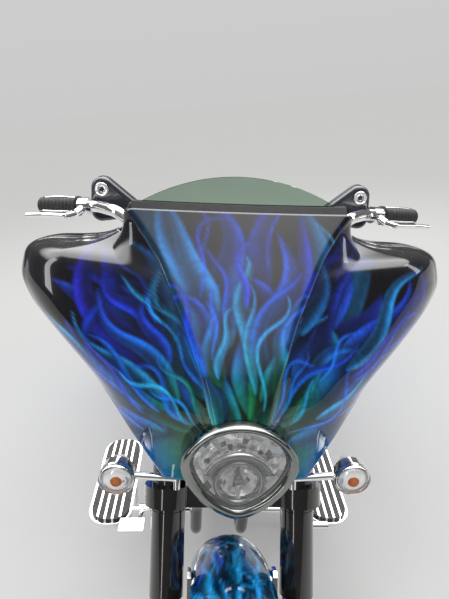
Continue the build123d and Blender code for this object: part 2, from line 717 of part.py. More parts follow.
def build_exhaust():
    port = HEAD_FIN_Y + FIT
    front = pipe((in_cylinder(-1, -30, -port, PORT_S), in_cylinder(-1, -30, -120, PORT_S), (-112, -268, 468),
                  (-128, -232, 300), (-128, -150, 212), (-134, 60, 212), (-190, 380, 214),
                  (-MUFFLER_X, MUFFLER_FRONT - 46, MUFFLER_Z), (-MUFFLER_X, MUFFLER_FRONT, MUFFLER_Z)),
                 (24, 36, 70, 50, 100, 60, 34), PIPE_R)
    rear = pipe((in_cylinder(1, -30, port, PORT_S), in_cylinder(1, -30, 110, PORT_S), (-128, 262, 470),
                 (-150, 262, 320), (-170, 300, 213)), (22, 40, 40), PIPE_R)
    cross = pipe(((-186, 350, 215), (150, 350, 215), (MUFFLER_X, MUFFLER_FRONT - 46, MUFFLER_Z),
                  (MUFFLER_X, MUFFLER_FRONT, MUFFLER_Z)), (40, 34), CROSS_R)
    add("exhaust_pipes", front + rear + cross)
    silencers = []
    for x in (MUFFLER_X, -MUFFLER_X):
        start, end = MUFFLER_FRONT + FIT, MUFFLER_REAR
        body = revolve(Plane.XY * Polygon(
            (0, start), (PIPE_R + 1, start), (MUFFLER_R, start + 90), (MUFFLER_R, end - 70), (40, end),
            (30, end), (30, end - 90), (0, end - 90), align=None), Axis.Y)
        silencers.append(Pos(x, 0, MUFFLER_Z) * body)
    add("mufflers", silencers)


# Bodywork on the frame

def build_tank():
    sections = []
    for y, half, low, high in TANK_ROWS:
        place = Plane(origin=(0, y, (low + high) / 2), x_dir=(1, 0, 0), z_dir=(0, 1, 0))
        corner = min(half, (high - low) / 2) * 0.72
        sections.append(place * RectangleRounded(2 * half, high - low, corner))
    tank = loft(sections)
    front, rear = TANK_ROWS[0][0] - 70, TANK_ROWS[-1][0] + 250
    tank -= block((-TANK_FLOOR_HALF, front, 560), (TANK_FLOOR_HALF, rear, TANK_FLOOR))
    tank -= block((-TUNNEL_HALF, front, 600), (TUNNEL_HALF, rear, TUNNEL_TOP))
    add("fuel_tank", tank)
    cap = rod((CAP_X, CAP_Y, CAP_TOP - 34), (CAP_X, CAP_Y, CAP_TOP), CAP_R)
    add("tank_cap", cap - tank)


def build_seat():
    low, high = 650, 720
    dip = (SEAT_STEP - 90, 692)
    outline = (
        Line((SEAT_FRONT, high), (SEAT_FRONT, low)) + Line((SEAT_FRONT, low), (SEAT_STEP - 65, low + 2))
        + Line((SEAT_STEP - 65, low + 2), (SEAT_REAR - 12, 690))
        + Line((SEAT_REAR - 12, 690), (SEAT_REAR, 740))
        + ThreePointArc((SEAT_REAR, 740), ((SEAT_REAR + SEAT_STEP) / 2, 770), (SEAT_STEP, 752))
        + ThreePointArc((SEAT_STEP, 752), (SEAT_STEP - 45, 712), dip)
        + ThreePointArc(dip, ((SEAT_FRONT + dip[0]) / 2, 668), (SEAT_FRONT, high))
    )
    seat = side_slab(make_face(outline), -SEAT_HALF, SEAT_HALF)
    seat = fillet(seat.edges().filter_by(Axis.Z).sort_by(Axis.Y)[:2], SEAT_CORNER)
    add("seat", seat - spine(BACKBONE_R + FIT))


def hinge_barrel(side, start, end, radius):
    """Part of a bag hinge along its pin."""
    x, z = side * (BAG_OUT + HINGE_OUT), BAG_RIM + LID_GAP / 2
    return rod((x, start, z), (x, end, z), radius)


def build_bags():
    hinge_z = BAG_RIM + LID_GAP / 2
    for side, name in ((1, "left"), (-1, "right")):
        low, high = sorted((side * BAG_IN, side * BAG_OUT))
        tub = block((low, BAG_FRONT, BAG_LOW), (high, BAG_REAR, BAG_RIM))
        tub = fillet(tub.edges().filter_by(Axis.Z), BAG_CORNER)
        tub = fillet(tub.faces().sort_by(Axis.Z)[0].edges(), LID_ROUND)
        hollow = block((low + BAG_WALL, BAG_FRONT + BAG_WALL, BAG_LOW + BAG_WALL),
                       (high - BAG_WALL, BAG_REAR - BAG_WALL, BAG_RIM + 10))
        hollow = fillet(hollow.edges().filter_by(Axis.Z), BAG_CORNER - BAG_WALL)
        tub -= fillet(hollow.faces().sort_by(Axis.Z)[0].edges(), LID_ROUND - BAG_WALL)
        lid = block((low, BAG_FRONT, BAG_RIM + LID_GAP), (high, BAG_REAR, LID_HIGH))
        lid = fillet(lid.edges().filter_by(Axis.Z), BAG_CORNER)
        lid = fillet(lid.faces().sort_by(Axis.Z)[-1].edges(), LID_ROUND)
        cavity = block((low + BAG_WALL, BAG_FRONT + BAG_WALL, BAG_RIM),
                       (high - BAG_WALL, BAG_REAR - BAG_WALL, LID_HIGH - BAG_WALL))
        cavity = fillet(cavity.edges().filter_by(Axis.Z), BAG_CORNER - BAG_WALL)
        lid -= fillet(cavity.faces().sort_by(Axis.Z)[-1].edges(), LID_ROUND - BAG_WALL)
        for middle in (BAG_FRONT + HINGE_INSET, BAG_REAR - HINGE_INSET):
            for near, far in ((-34, -12), (12, 34)):
                tub += hinge_barrel(side, middle + near, middle + far, HINGE_R)
                tub += side_block(side, BAG_OUT - 2, BAG_OUT + HINGE_OUT, middle + near, middle + far,
                                  hinge_z - 22, hinge_z - 3)
            tub += hinge_barrel(side, middle - 30, middle + 30, HINGE_PIN)
            knuckle = hinge_barrel(side, middle - 11, middle + 11, HINGE_R)
            knuckle += side_block(side, BAG_OUT - 2, BAG_OUT + HINGE_OUT, middle - 11, middle + 11,
                                  hinge_z + 3, hinge_z + 20)
            lid += knuckle - hinge_barrel(side, middle - 40, middle + 40, HINGE_PIN + FIT)
        add("bag_tub_" + name, tub)
        add("bag_lid_" + name, lid)


def build_boards():
    depth = BOARD_REAR - BOARD_FRONT
    width = BOARD_OUT - BOARD_IN
    middle = Pos((BOARD_IN + BOARD_OUT) / 2, (BOARD_FRONT + BOARD_REAR) / 2)
    top = BOARD_Z + BOARD_THICK
    outline = middle * RectangleRounded(width, depth, BOARD_CORNER)
    plate = extrude(Plane.XY.offset(BOARD_Z) * outline, BOARD_THICK)
    plate += rod((RAIL_X + RAIL_R + FIT, ARM_Y, ARM_Z), (BOARD_IN + 30, ARM_Y, ARM_Z), ARM_R)
    elbow = (BOARD_IN + 14, REAR_ARM_Y, RAIL_Z - 2)
    plate += rod((RAIL_X + RAIL_R + FIT, REAR_ARM_Y, RAIL_Z - 2), elbow, ARM_R - 1)
    plate += rod(elbow, (BOARD_IN + 14, REAR_ARM_Y, BOARD_Z + 2), ARM_R - 1)
    pad_w, pad_d = width - 2 * BOARD_RIM, depth - 2 * BOARD_RIM
    inside = middle * RectangleRounded(pad_w, pad_d, BOARD_CORNER - BOARD_RIM)
    rubber = extrude(Plane.XY.offset(top) * inside, RUBBER_THICK)
    rib_ends = extrude(Plane.XY.offset(top) * (
        middle * RectangleRounded(pad_w - 4, pad_d - 4, BOARD_CORNER - BOARD_RIM - 2)), 20)
    for i in range(RIBS):
        x = BOARD_IN + BOARD_RIM + pad_w * (i + 1) / (RIBS + 1)
        low, high = x - RIB_W / 2, x + RIB_W / 2
        rubber -= block((low - FIT, BOARD_FRONT, top - 1), (high + FIT, BOARD_REAR, top + 20))
        plate += block((low, BOARD_FRONT, top), (high, BOARD_REAR, top + RUBBER_THICK + 1)) & rib_ends
    add("floorboards", both(plate))
    add("board_rubbers", both(rubber))

    lever = rod((LEVER_X - 8, ARM_Y, ARM_Z), (LEVER_X + 8, ARM_Y, ARM_Z), 17)
    lever -= rod((LEVER_X - 20, ARM_Y, ARM_Z), (LEVER_X + 20, ARM_Y, ARM_Z), ARM_R + FIT)
    tip_y, tip_z = ARM_Y - LEVER_AHEAD, ARM_Z + LEVER_RISE
    lever += rod((LEVER_X, ARM_Y - 14, ARM_Z + 6), (LEVER_X, tip_y, tip_z), 6)
    shift = lever + rod((LEVER_X, tip_y, tip_z), (LEVER_X + 64, tip_y, tip_z), 11)
    brake = lever + block((LEVER_X - 16, tip_y - 20, tip_z - 6), (LEVER_X + 48, tip_y + 20, tip_z + 6))
    add("foot_controls", [shift, mirror(brake, about=Plane.YZ)])


def build_stand():
    foot_z = STAND_FOOT[0] * tan(radians(LEAN))
    foot = Vector(STAND_FOOT[0], STAND_FOOT[1], foot_z + 10)
    pivot = Vector(*STAND_PIVOT)
    start = pivot + (foot - pivot).normalized() * 17
    leg = rod(tuple(start), tuple(foot), STAND_R)
    eye = rod(on_bolt(-STAND_EYE), on_bolt(STAND_EYE), 18) - rod(on_bolt(-40), on_bolt(40), STAND_BOLT + FIT)
    pad = Pos(STAND_FOOT[0], STAND_FOOT[1], foot_z) * Rot(0, -LEAN, 0) * Cylinder(
        30, 8, align=(Align.CENTER, Align.CENTER, Align.MIN))
    add("side_stand", eye + leg + pad)


# Bodywork on the fork

def sag(x):
    """How far the fairing's centre panel and the windscreen curve back at a half width."""
    return x * x / (2 * PANEL_R)


def fairing_edges(row):
    """Outer and inner corners of one half of the fairing, from the centre to the rolled edge."""
    height, centre_y, centre_x, step, in_x, in_y, out_x, out_y, edge_x, edge_y, roll = row
    t = FAIRING_WALL
    side_y = centre_y + sag(centre_x)
    turn_x = edge_x - 0.35 * roll
    mid_x = (out_x + turn_x) / 2 + WING_BULGE * (edge_y - out_y)
    mid_y = (out_y + edge_y) / 2 - WING_BULGE * (turn_x - out_x)
    outer = [
        (centre_x, side_y), (centre_x + 4, side_y + step), (in_x, in_y), (out_x, out_y), (mid_x, mid_y),
        (turn_x, edge_y), (edge_x, edge_y + 0.8 * roll), (edge_x - 0.5 * roll, edge_y + 1.7 * roll)]
    shift = [(-6, t), (-6, t), (-2, t), (-3, t), (-4, t), (-5, t), (-t, 0), (-t, 0)]
    inner = [(x + dx, y + dy) for (x, y), (dx, dy) in zip(outer, shift)]
    return outer, inner


def half_path(points, flip):
    """Edges of one contour from its first point on: lines, the wing's arc and the rolled edge's arc."""
    a = [(flip * x, y) for x, y in points]
    return (Line(a[0], a[1]) + Line(a[1], a[2]) + Line(a[2], a[3])
            + ThreePointArc(a[3], a[4], a[5]) + ThreePointArc(a[5], a[6], a[7]))


def fairing_section(row):
    outer, inner = fairing_edges(row)
    centre_y = row[1]
    path = ThreePointArc((-outer[0][0], outer[0][1]), (0, centre_y), outer[0])
    path += ThreePointArc((-inner[0][0], inner[0][1]), (0, centre_y + FAIRING_WALL), inner[0])
    for flip in (1, -1):
        path += half_path(outer, flip) + half_path(inner, flip)
        path += Line((flip * outer[-1][0], outer[-1][1]), (flip * inner[-1][0], inner[-1][1]))
    return Plane(origin=from_axle(0, 0, row[0])) * make_face(path)


def lamp_face(grow):
    """Headlamp outline seen from the front: wide above, rounded V below."""
    h = LAMP_HALF + grow
    top, low = LAMP_TOP + grow, LAMP_BOTTOM - grow
    knee = (h * 0.66, low * 0.62)
    return make_face(
        ThreePointArc((-h, 0), (0, top), (h, 0)) + ThreePointArc((h, 0), knee, (0, low))
        + ThreePointArc((0, low), (-knee[0], knee[1]), (-h, 0)))


def lamp_slab(grow, y_low, y_high):
    """Slab of the headlamp's outline, from one depth to another."""
    return extrude(Plane.XZ.offset(-y_high) * lamp_face(grow), y_high - y_low, dir=(0, -1, 0))


def build_fairing():
    shell = loft([fairing_section(row) for row in FAIRING_ROWS], ruled=True)
    lamp = Pos(*from_axle(0, LAMP_BACK, LAMP_UP)) * Rot(-LAMP_TILT, 0, 0)
    shell -= lamp * lamp_slab(FIT, -200, 260)
    for side in (1, -1):
        shell += rod(from_axle(side * PEG_X, 213, PEG_S), from_axle(side * PEG_X, 281, PEG_S), 9)
    add("fairing_shell", shell)
    body = lamp_slab(0, 0, LAMP_DEPTH) - lamp_slab(-LAMP_RIM, -10, LAMP_DEPTH - 10)
    add("headlamp_shell", lamp * body)
    add("headlamp_lens", lamp * lamp_slab(-LAMP_RIM - FIT, 6, 10))
    back = LAMP_DEPTH - 10 - FIT
    core = lamp_slab(-LAMP_RIM - FIT, 14, back) - lamp_slab(-LAMP_RIM - 5, 8, 34)
    bowl = Polygon((0, -1), (66, -1), (52, 14), (0, 14), align=None)
    core -= Pos(0, 34, 0) * revolve(Plane.XY * bowl, Axis.Y)
    ring = Pos(0, 0, -CORE_DROP) * revolve(Plane.XY * Polygon(
        (CORE_R, 16), (CORE_R, back - 8), (0, back - 8), (0, 24), (14, 25), (28, 29), (CORE_R - 5, 38),
        (CORE_R - 5, 16), align=None), Axis.Y)
    add("headlamp_core", lamp * (core + ring))


def bar_points():
    centre = in_fork(0, RISER_Y, RISER_TOP)
    return [centre, (66, centre[1], centre[2])] + [from_axle(*point) for point in BAR_BENDS]


BAR_POINTS = bar_points()


def handlebar(radius):
    half = pipe(BAR_POINTS, BAR_RADII, radius)
    return half + mirror(half, about=Plane.YZ)


def build_controls():
    bar = handlebar(BAR_R)
    for side in (1, -1):
        x = side * RISER_X
        foot = in_fork(x, RISER_Y, CLAMP_HIGH + CLAMP_THICK + FIT)
        bar += rod(foot, in_fork(x, RISER_Y, RISER_TOP), RISER_R)
    add("handlebar", bar)
    start, end = Vector(*BAR_POINTS[-2]), Vector(*BAR_POINTS[-1])
    along = (end - start).normalized()
    near = end - along * GRIP_LENGTH
    grip = rod(tuple(near), tuple(end), GRIP_R)
    for i in range(6):
        mid = near + along * (14 + 17 * i)
        grip += rod(tuple(mid), tuple(mid + along * 6), GRIP_R + 2)
    grip -= rod(tuple(near - along * 5), tuple(end + along * 5), BAR_R + FIT)
    add("grips", both(grip))


def ring(point, along, length, outer, inner):
    """Collar about a point on a tube."""
    start, end = point - along * (length / 2), point + along * (length / 2)
    return rod(tuple(start), tuple(end), outer) - rod(tuple(start - along), tuple(end + along), inner)


def build_levers():
    start, end = Vector(*BAR_POINTS[-2]), Vector(*BAR_POINTS[-1])
    along = (end - start).normalized()
    ahead = Vector(along.Y, -along.X, 0).normalized()
    ahead = (ahead + Vector(0, 0, -0.25)).normalized()
    seat = end - along * (GRIP_LENGTH + PERCH)
    perch = ring(seat, along, 26, 19, BAR_R + FIT)
    perch += rod(tuple(seat + ahead * 17), tuple(seat + ahead * 40), 9)
    perch += pipe((tuple(seat + ahead * 36), tuple(seat + ahead * 52 + along * 16),
                   tuple(seat + ahead * 50 + along * 80), tuple(end + ahead * 54 - along * 4)), (12, 40), 6)
    add("hand_levers", both(perch))

    disc_mid = from_axle(MIRROR_X, MIRROR_BACK, MIRROR_UP)
    outline = make_hull(
        Circle(26).edges() + (Pos(6, -52) * Circle(24)).edges() + (Pos(-60, -44) * Circle(22)).edges())
    shell = Pos(*disc_mid) * extrude(Plane.XZ.offset(-MIRROR_HALF) * outline, 2 * MIRROR_HALF, dir=(0, -1, 0))
    shell = fillet(shell.faces().sort_by(Axis.Y)[0].edges(), 10)
    shell += rod((disc_mid[0], disc_mid[1] - MIRROR_HALF - 3, disc_mid[2]),
                 (disc_mid[0], disc_mid[1], disc_mid[2]), 15)
    shell += rod(tuple(seat), (disc_mid[0] + 2, disc_mid[1], disc_mid[2] - 50), 7)
    shell -= rod(tuple(seat - along * 15), tuple(seat + along * 15), 19 + FIT)
    shell -= rod(tuple(seat), tuple(seat + ahead * 42), 9 + FIT)
    add("mirrors", both(shell.solids().sort_by(lambda piece: -piece.volume)[0]))


def screen_band(y_out, y_in, height, slope):
    """Upright band that follows the fairing's centre panel, leaned back by the slope."""
    lean = radians(slope)
    foot = from_axle(0, FAIRING_ROWS[-1][1], FAIRING_TOP)
    base = Plane(origin=foot, x_dir=(1, 0, 0), z_dir=(0, sin(lean), cos(lean)))
    reach = SCREEN_HALF + 8
    face = make_face(
        ThreePointArc((-reach, sag(reach) + y_out), (0, y_out), (reach, sag(reach) + y_out))
        + Line((reach, sag(reach) + y_out), (reach, sag(reach) + y_in))
        + ThreePointArc((reach, sag(reach) + y_in), (0, y_in), (-reach, sag(reach) + y_in))
        + Line((-reach, sag(reach) + y_in), (-reach, sag(reach) + y_out)))
    return extrude(base * face, height)


def build_screen():
    high = FRONT_Z + FAIRING_TOP
    trim = screen_band(-1, FAIRING_WALL + 1, 40, SCREEN_SLOPE)
    sheet = screen_band(1.5, 1.5 + SCREEN_THICK, 200, SCREEN_SLOPE)
    groove = screen_band(1.5 - FIT, 1.5 + SCREEN_THICK + FIT, 200, SCREEN_SLOPE)
    half = SCREEN_HALF
    window = make_face(
        Line((-half, high + 4), (half, high + 4)) + Line((half, high + 4), (half - 12, high + TRIM_TALL))
        + ThreePointArc((half - 12, high + TRIM_TALL), (0, high + SCREEN_RISE), (12 - half, high + TRIM_TALL))
        + Line((12 - half, high + TRIM_TALL), (-half, high + 4)))
    trim = trim & block((-half - 6, FRONT_Y, high + FIT), (half + 6, 0, high + TRIM_TALL))
    trim -= groove & block((-half - 20, FRONT_Y, high + 4 - FIT), (half + 20, 0, high + 300))
    add("screen_trim", trim)
    add("windscreen", sheet & extrude(Plane.XZ.offset(0) * window, 900, dir=(0, -1, 0)))


def build_dash():
    sections = []
    for row in FAIRING_ROWS[DASH_FROM:]:
        inner = fairing_edges(row)[1]
        half, back = inner[-1][0] - FIT, inner[-1][1]
        sections.append(Plane(origin=from_axle(0, 0, row[0])) * Polygon(
            (-half, back - DASH_THICK), (half, back - DASH_THICK), (half, back), (-half, back), align=None))
    dash = loft(sections, ruled=True)
    dash -= handlebar(BAR_R + 8)
    for side in (1, -1):
        x = side * RISER_X
        dash -= rod(in_fork(x, RISER_Y, CLAMP_HIGH), in_fork(x, RISER_Y, RISER_TOP + 20), 24)
    add("dash_panel", max(dash.solids(), key=lambda piece: piece.volume))


def build_signals():
    foot = in_fork(104, -40, CLAMP_LOW + CLAMP_THICK + FIT)
    knee = in_fork(104, -40, 480)
    centre = from_axle(SIGNAL_X, SIGNAL_BACK, SIGNAL_UP)
    body = rod(foot, knee, STALK_R) + rod(knee, (centre[0] - 22, centre[1] + 16, centre[2] - 6), STALK_R)
    cone = revolve(Plane.XY * Polygon(
        (0, 0), (SIGNAL_R, 0), (SIGNAL_R + 1, 8), (SIGNAL_R - 2, 26), (14, 46), (0, 50), align=None), Axis.Y)
    lens = revolve(Plane.XY * Polygon(
        (0, 0), (SIGNAL_R - 2, 0), (SIGNAL_R - 4, -5), (18, -10), (8, -12.5), (0, -13), align=None), Axis.Y)
    add("signal_lamps", both(body + Pos(*centre) * cone))
    add("signal_lenses", both(Pos(centre[0], centre[1] - FIT, centre[2]) * lens))


def build_rear_lamps():
    radius = REAR_FENDER_R + FIT
    fender = drum(-300, 300, radius, 0, 0)
    lamp = block((-TAIL_HALF, radius - 30, -32), (TAIL_HALF, radius + TAIL_DEEP, 32))
    lamp = fillet(lamp.faces().sort_by(Axis.Y)[-1].edges(), 14)
    lamp = Rot(TAIL_ANGLE, 0, 0) * lamp - fender
    add("tail_lamp", REAR_AXLE * lamp.solids().sort_by(Axis.Y)[-1])
    bar_r = radius + 14
    bar = rod((-BAR_HALF, bar_r, 0), (BAR_HALF, bar_r, 0), 9) + block((-30, radius - 30, -8), (30, bar_r, 8))
    bar = Rot(BAR_ANGLE, 0, 0) * bar
    a = radians(BAR_ANGLE)
    for x in (BAR_HALF, -BAR_HALF):
        bar += Pos(x, bar_r * cos(a) - 8, bar_r * sin(a)) * revolve(Plane.XY * Polygon(
            (0, -14), (18, -10), (REAR_SIGNAL_R, 24), (0, 34), align=None), Axis.Y)
    add("rear_signals", REAR_AXLE * (bar - fender).solids().sort_by(Axis.Y)[-1])


def build_small():
    back = -REAR_HUB - DISC_THICK
    caliper = block((back - 22, REAR_Y - 135, REAR_Z + 51), (-REAR_HUB + 14, REAR_Y - 63, REAR_Z + 125))
    caliper -= drum(back - 5, -REAR_HUB + 5, REAR_DISC_R + 5, REAR_Y, REAR_Z)
    foot = arm_top(REAR_Y - 83) + FIT
    caliper += block((-ARM_IN - 20, REAR_Y - 123, foot), (back - 8, REAR_Y - 83, REAR_Z + 65))
    add("rear_caliper", caliper)

    inside = RAIL_X + RAIL_R + FIT
    cover = side_slab(Polygon(
        (UPRIGHT_Y - 98, 480), (UPRIGHT_Y - 70, 590), (UPRIGHT_Y + 30, 590), (UPRIGHT_Y + 62, 440),
        (UPRIGHT_Y - 78, 440), align=None), inside, inside + 14)
    cover = fillet(cover.edges().filter_by(Axis.X), 12)
    cover = fillet(cover.faces().sort_by(Axis.X)[-1].edges(), 5)
    add("side_covers", both(cover))


def place(solid):
    """Lean the upright machine onto its stand."""
    return Rot(0, LEAN, 0) * solid


def main():
    build_wheels()
    build_fork()
    build_fenders()
    build_frame()
    build_shocks()
    build_engine()
    build_exhaust()
    build_tank()
    build_seat()
    build_bags()
    build_boards()
    build_stand()
    build_fairing()
    build_controls()
    build_levers()
    build_screen()
    build_dash()
    build_signals()
    build_rear_lamps()
    build_small()
    leaned = {name: [place(solid) for solid in solids] for name, solids in nodes.items()}
    box = Compound([solid for solids in leaned.values() for solid in solids]).bounding_box()
    shift = Pos(-(box.min.X + box.max.X) / 2, -(box.min.Y + box.max.Y) / 2, -box.min.Z)
    os.makedirs("parts", exist_ok=True)
    for name, solids in leaned.items():
        moved = [shift * solid for solid in solids]
        shape = moved[0] if len(moved) == 1 else Compound(moved)
        export_step(shape, "parts/" + name + ".step")
    return shift


SHIFT = main()
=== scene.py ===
import json
from math import atan2, cos, pi, radians, sin, sqrt

import bpy
import numpy as np
from mathutils import Matrix, Vector


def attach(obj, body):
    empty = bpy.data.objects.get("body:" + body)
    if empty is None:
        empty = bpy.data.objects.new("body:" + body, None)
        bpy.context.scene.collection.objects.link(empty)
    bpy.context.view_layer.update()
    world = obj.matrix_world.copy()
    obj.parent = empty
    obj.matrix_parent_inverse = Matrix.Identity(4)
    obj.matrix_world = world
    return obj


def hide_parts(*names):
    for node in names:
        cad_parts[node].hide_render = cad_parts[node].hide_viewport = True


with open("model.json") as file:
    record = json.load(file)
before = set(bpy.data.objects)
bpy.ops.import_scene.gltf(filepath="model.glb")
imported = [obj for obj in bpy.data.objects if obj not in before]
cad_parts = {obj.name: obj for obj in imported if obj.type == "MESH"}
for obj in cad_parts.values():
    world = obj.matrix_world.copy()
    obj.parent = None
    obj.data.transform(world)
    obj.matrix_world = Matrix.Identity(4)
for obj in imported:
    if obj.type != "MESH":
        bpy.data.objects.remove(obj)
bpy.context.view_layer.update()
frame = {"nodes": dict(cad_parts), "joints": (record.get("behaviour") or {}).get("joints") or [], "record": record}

# The machine's own upright frame, from the wheel joints: x to the rider's left,
# y to the rear, z up, with its origin on the ground halfway between the axles
joints = {joint["name"]: joint for joint in frame["joints"]}
front_axle = Vector(joints["front_wheel_spin"]["pos_m"])
rear_axle = Vector(joints["rear_wheel_spin"]["pos_m"])
ACROSS = Vector(joints["front_wheel_spin"]["axis"]).normalized()
BACK = Vector((0, 1, 0))
UP = ACROSS.cross(BACK)
WHEELBASE = rear_axle.y - front_axle.y
FRONT_Y = -500 * WHEELBASE
REAR_Y = 500 * WHEELBASE
FRONT_Z = 1000 * front_axle.z / UP.z
REAR_Z = 1000 * rear_axle.z / UP.z
ground = front_axle - UP * (FRONT_Z / 1000) + BACK * (WHEELBASE / 2)
BIKE = Matrix((
    (ACROSS.x, BACK.x, UP.x, ground.x),
    (ACROSS.y, BACK.y, UP.y, ground.y),
    (ACROSS.z, BACK.z, UP.z, ground.z),
    (0, 0, 0, 1)))
BIKE_TURN = np.array(BIKE.to_3x3())
BIKE_PLACE = np.array(ground)
steer = Vector(joints["steering"]["axis"])
RAKE = atan2(steer.dot(BACK), steer.dot(UP))

# Camera: place and turn in the machine's frame, focal length in pixels of the picture
PICTURE = (449, 599)
FOCAL = 461.0
CAMERA = (-0.0689, -1.2643, 1.3849)
CAMERA_YAW = 3.248
CAMERA_PITCH = 23.682
CAMERA_ROLL = 2.557

# Studio: floor colour, level of the even light, and level of the backdrop at the horizon
FLOOR = (0.80, 0.80, 0.79)
WORLD_LIGHT = 0.74
HORIZON = FLOOR[0] * WORLD_LIGHT

# Sky that only reflections show, as parts of a direction: level of the patch overhead, how far
# up it starts and is full, and across which span it brightens towards the rider's left; then
# the level of the sky behind the machine, the span to the rear and the span upwards
SKY_LIGHT = 4.0
SKY_RISE = (0.68, 0.98)
SKY_SIDE = (-0.35, 0.48)
SKY_BEHIND = 4.0
BEHIND_REAR = (-0.10, 0.04)
BEHIND_RISE = (0.45, 0.60)

# Fairing, in millimetres from the front axle, one row for each height: height, centre
# panel's y, its half width, step beside it, second panel's start x and y, its end x and y,
# wing edge x and y, radius of the rolled edge
FAIRING_ROWS = (
    (456, 185, 20, 4, 30, 186, 60, 186, 122, 184, 12),
    (507, 185, 26, 5, 40, 190, 72, 196, 183, 238, 16),
    (580, 159, 38, 8, 61, 185, 92, 196, 260, 310, 26),
    (640, 193, 55, 14, 85, 223, 155, 247, 351, 380, 34),
    (680, 227, 74, 18, 113, 265, 200, 290, 405, 423, 38),
    (720, 262, 92, 22, 139, 302, 243, 332, 430, 447, 40),
    (770, 305, 122, 28, 182, 347, 306, 383, 421, 463, 40),
    (806, 337, 143, 30, 216, 377, 338, 410, 375, 463, 36),
    (848, 373, 178, 26, 236, 410, 258, 423, 272, 450, 24),
    (872, 394, 204, 20, 214, 420, 221, 427, 232, 437, 16),
)
PANEL_R = 2400.0
FAIRING_WALL = 7.0
WING_BULGE = 0.1
FAIRING_STEPS = 150
CENTRE_COLUMNS = 40
DASH_LOW = 640.0
DASH_THICK = 7.0

# Length along the sloping panel for each millimetre of height, for the paint's plane
SLOPE = 1.22

# Wings: height where their tops begin to sink below the rows, how far down and how far back
SHOULDER_START = 760.0
SHOULDER_DROP = 60.0
SHOULDER_ROLL = 26.0

# Headlamp, in millimetres from the front axle and in its own tilted frame
LAMP_UP = 530.0
LAMP_BACK = 127.0
LAMP_TILT = 8.0
LAMP_HALF = 98.0
LAMP_TOP = 72.0
LAMP_BOTTOM = -104.0

# Its rim, and how many times wider it is at the sides and the bottom; the round inner
# reflector's radius and its drop below the lamp's middle; how far the facets waver in depth
LAMP_RIM = 11.0
RIM_SPREAD = 1.75
CORE_R = 38.0
CORE_DROP = 40.0
FACET_DEPTH = 3.4
# Painted reflection: three copies of one mirror metal, bright, mid and darkened, that the facets take at random
FACET_REFLECTIONS = ("bright", "satin", "smoked")

# Handlebar bends, mirrors and signals, in millimetres from the front axle
BAR_RISE = (140, 459, 786)
BAR_ELBOW = (250, 535, 838)
BAR_BEND = (300, 595, 833)
BAR_END = (444, 663, 816)
BAR_R = 12.7
GRIP_LENGTH = 112.0
MIRROR = (298, 656, 862)
SIGNAL = (207, 180, 454)
SIGNAL_R = 30.0

# Gauges: x, height above the front axle, radius
GAUGES = ((-62, 812, 44), (62, 812, 44), (-178, 800, 27), (178, 800, 27))

# Tyres: radius, width, crown radius, rim radius, half width at the beads
FRONT_TYRE = (319.6, 130.0, 76.0, 228.6, 45.0)
REAR_TYRE = (311.2, 180.0, 118.0, 203.2, 64.0)
TYRE_WALL = 15.0
TREAD_DEPTH = 4.5

# Tread: slanted grooves round the tyre, and half width of the middle rib as a share of the tread's
TREAD_TURNS = 36
RIB_SHARE = 0.16

# Front fender: radius of its crown, half width, drop of the edge, skirt, the angles of its
# front and rear ends from straight above the axle, its wall, and how far out its stays reach
FENDER_R = 342.0
FENDER_HALF = 76.0
FENDER_DROP = 50.0
FENDER_SKIRT = 22.0
FENDER_START = -56.0
FENDER_END = 72.0
FENDER_THICK = 4.0
STAY_OUT = 98.2


# Materials

def new_material(name, color=(0.5, 0.5, 0.5), rough=0.5, metal=0.0, **sockets):
    """Principled material and a small toolbox for its nodes."""
    mat = bpy.data.materials.new(name)
    mat.use_nodes = True
    tree = mat.node_tree
    shader = tree.nodes["Principled BSDF"]
    shader.inputs["Base Color"].default_value = (*color, 1)
    shader.inputs["Roughness"].default_value = rough
    shader.inputs["Metallic"].default_value = metal
    for key, value in sockets.items():
        shader.inputs[key.replace("_", " ")].default_value = value
    return mat, Nodes(tree), shader


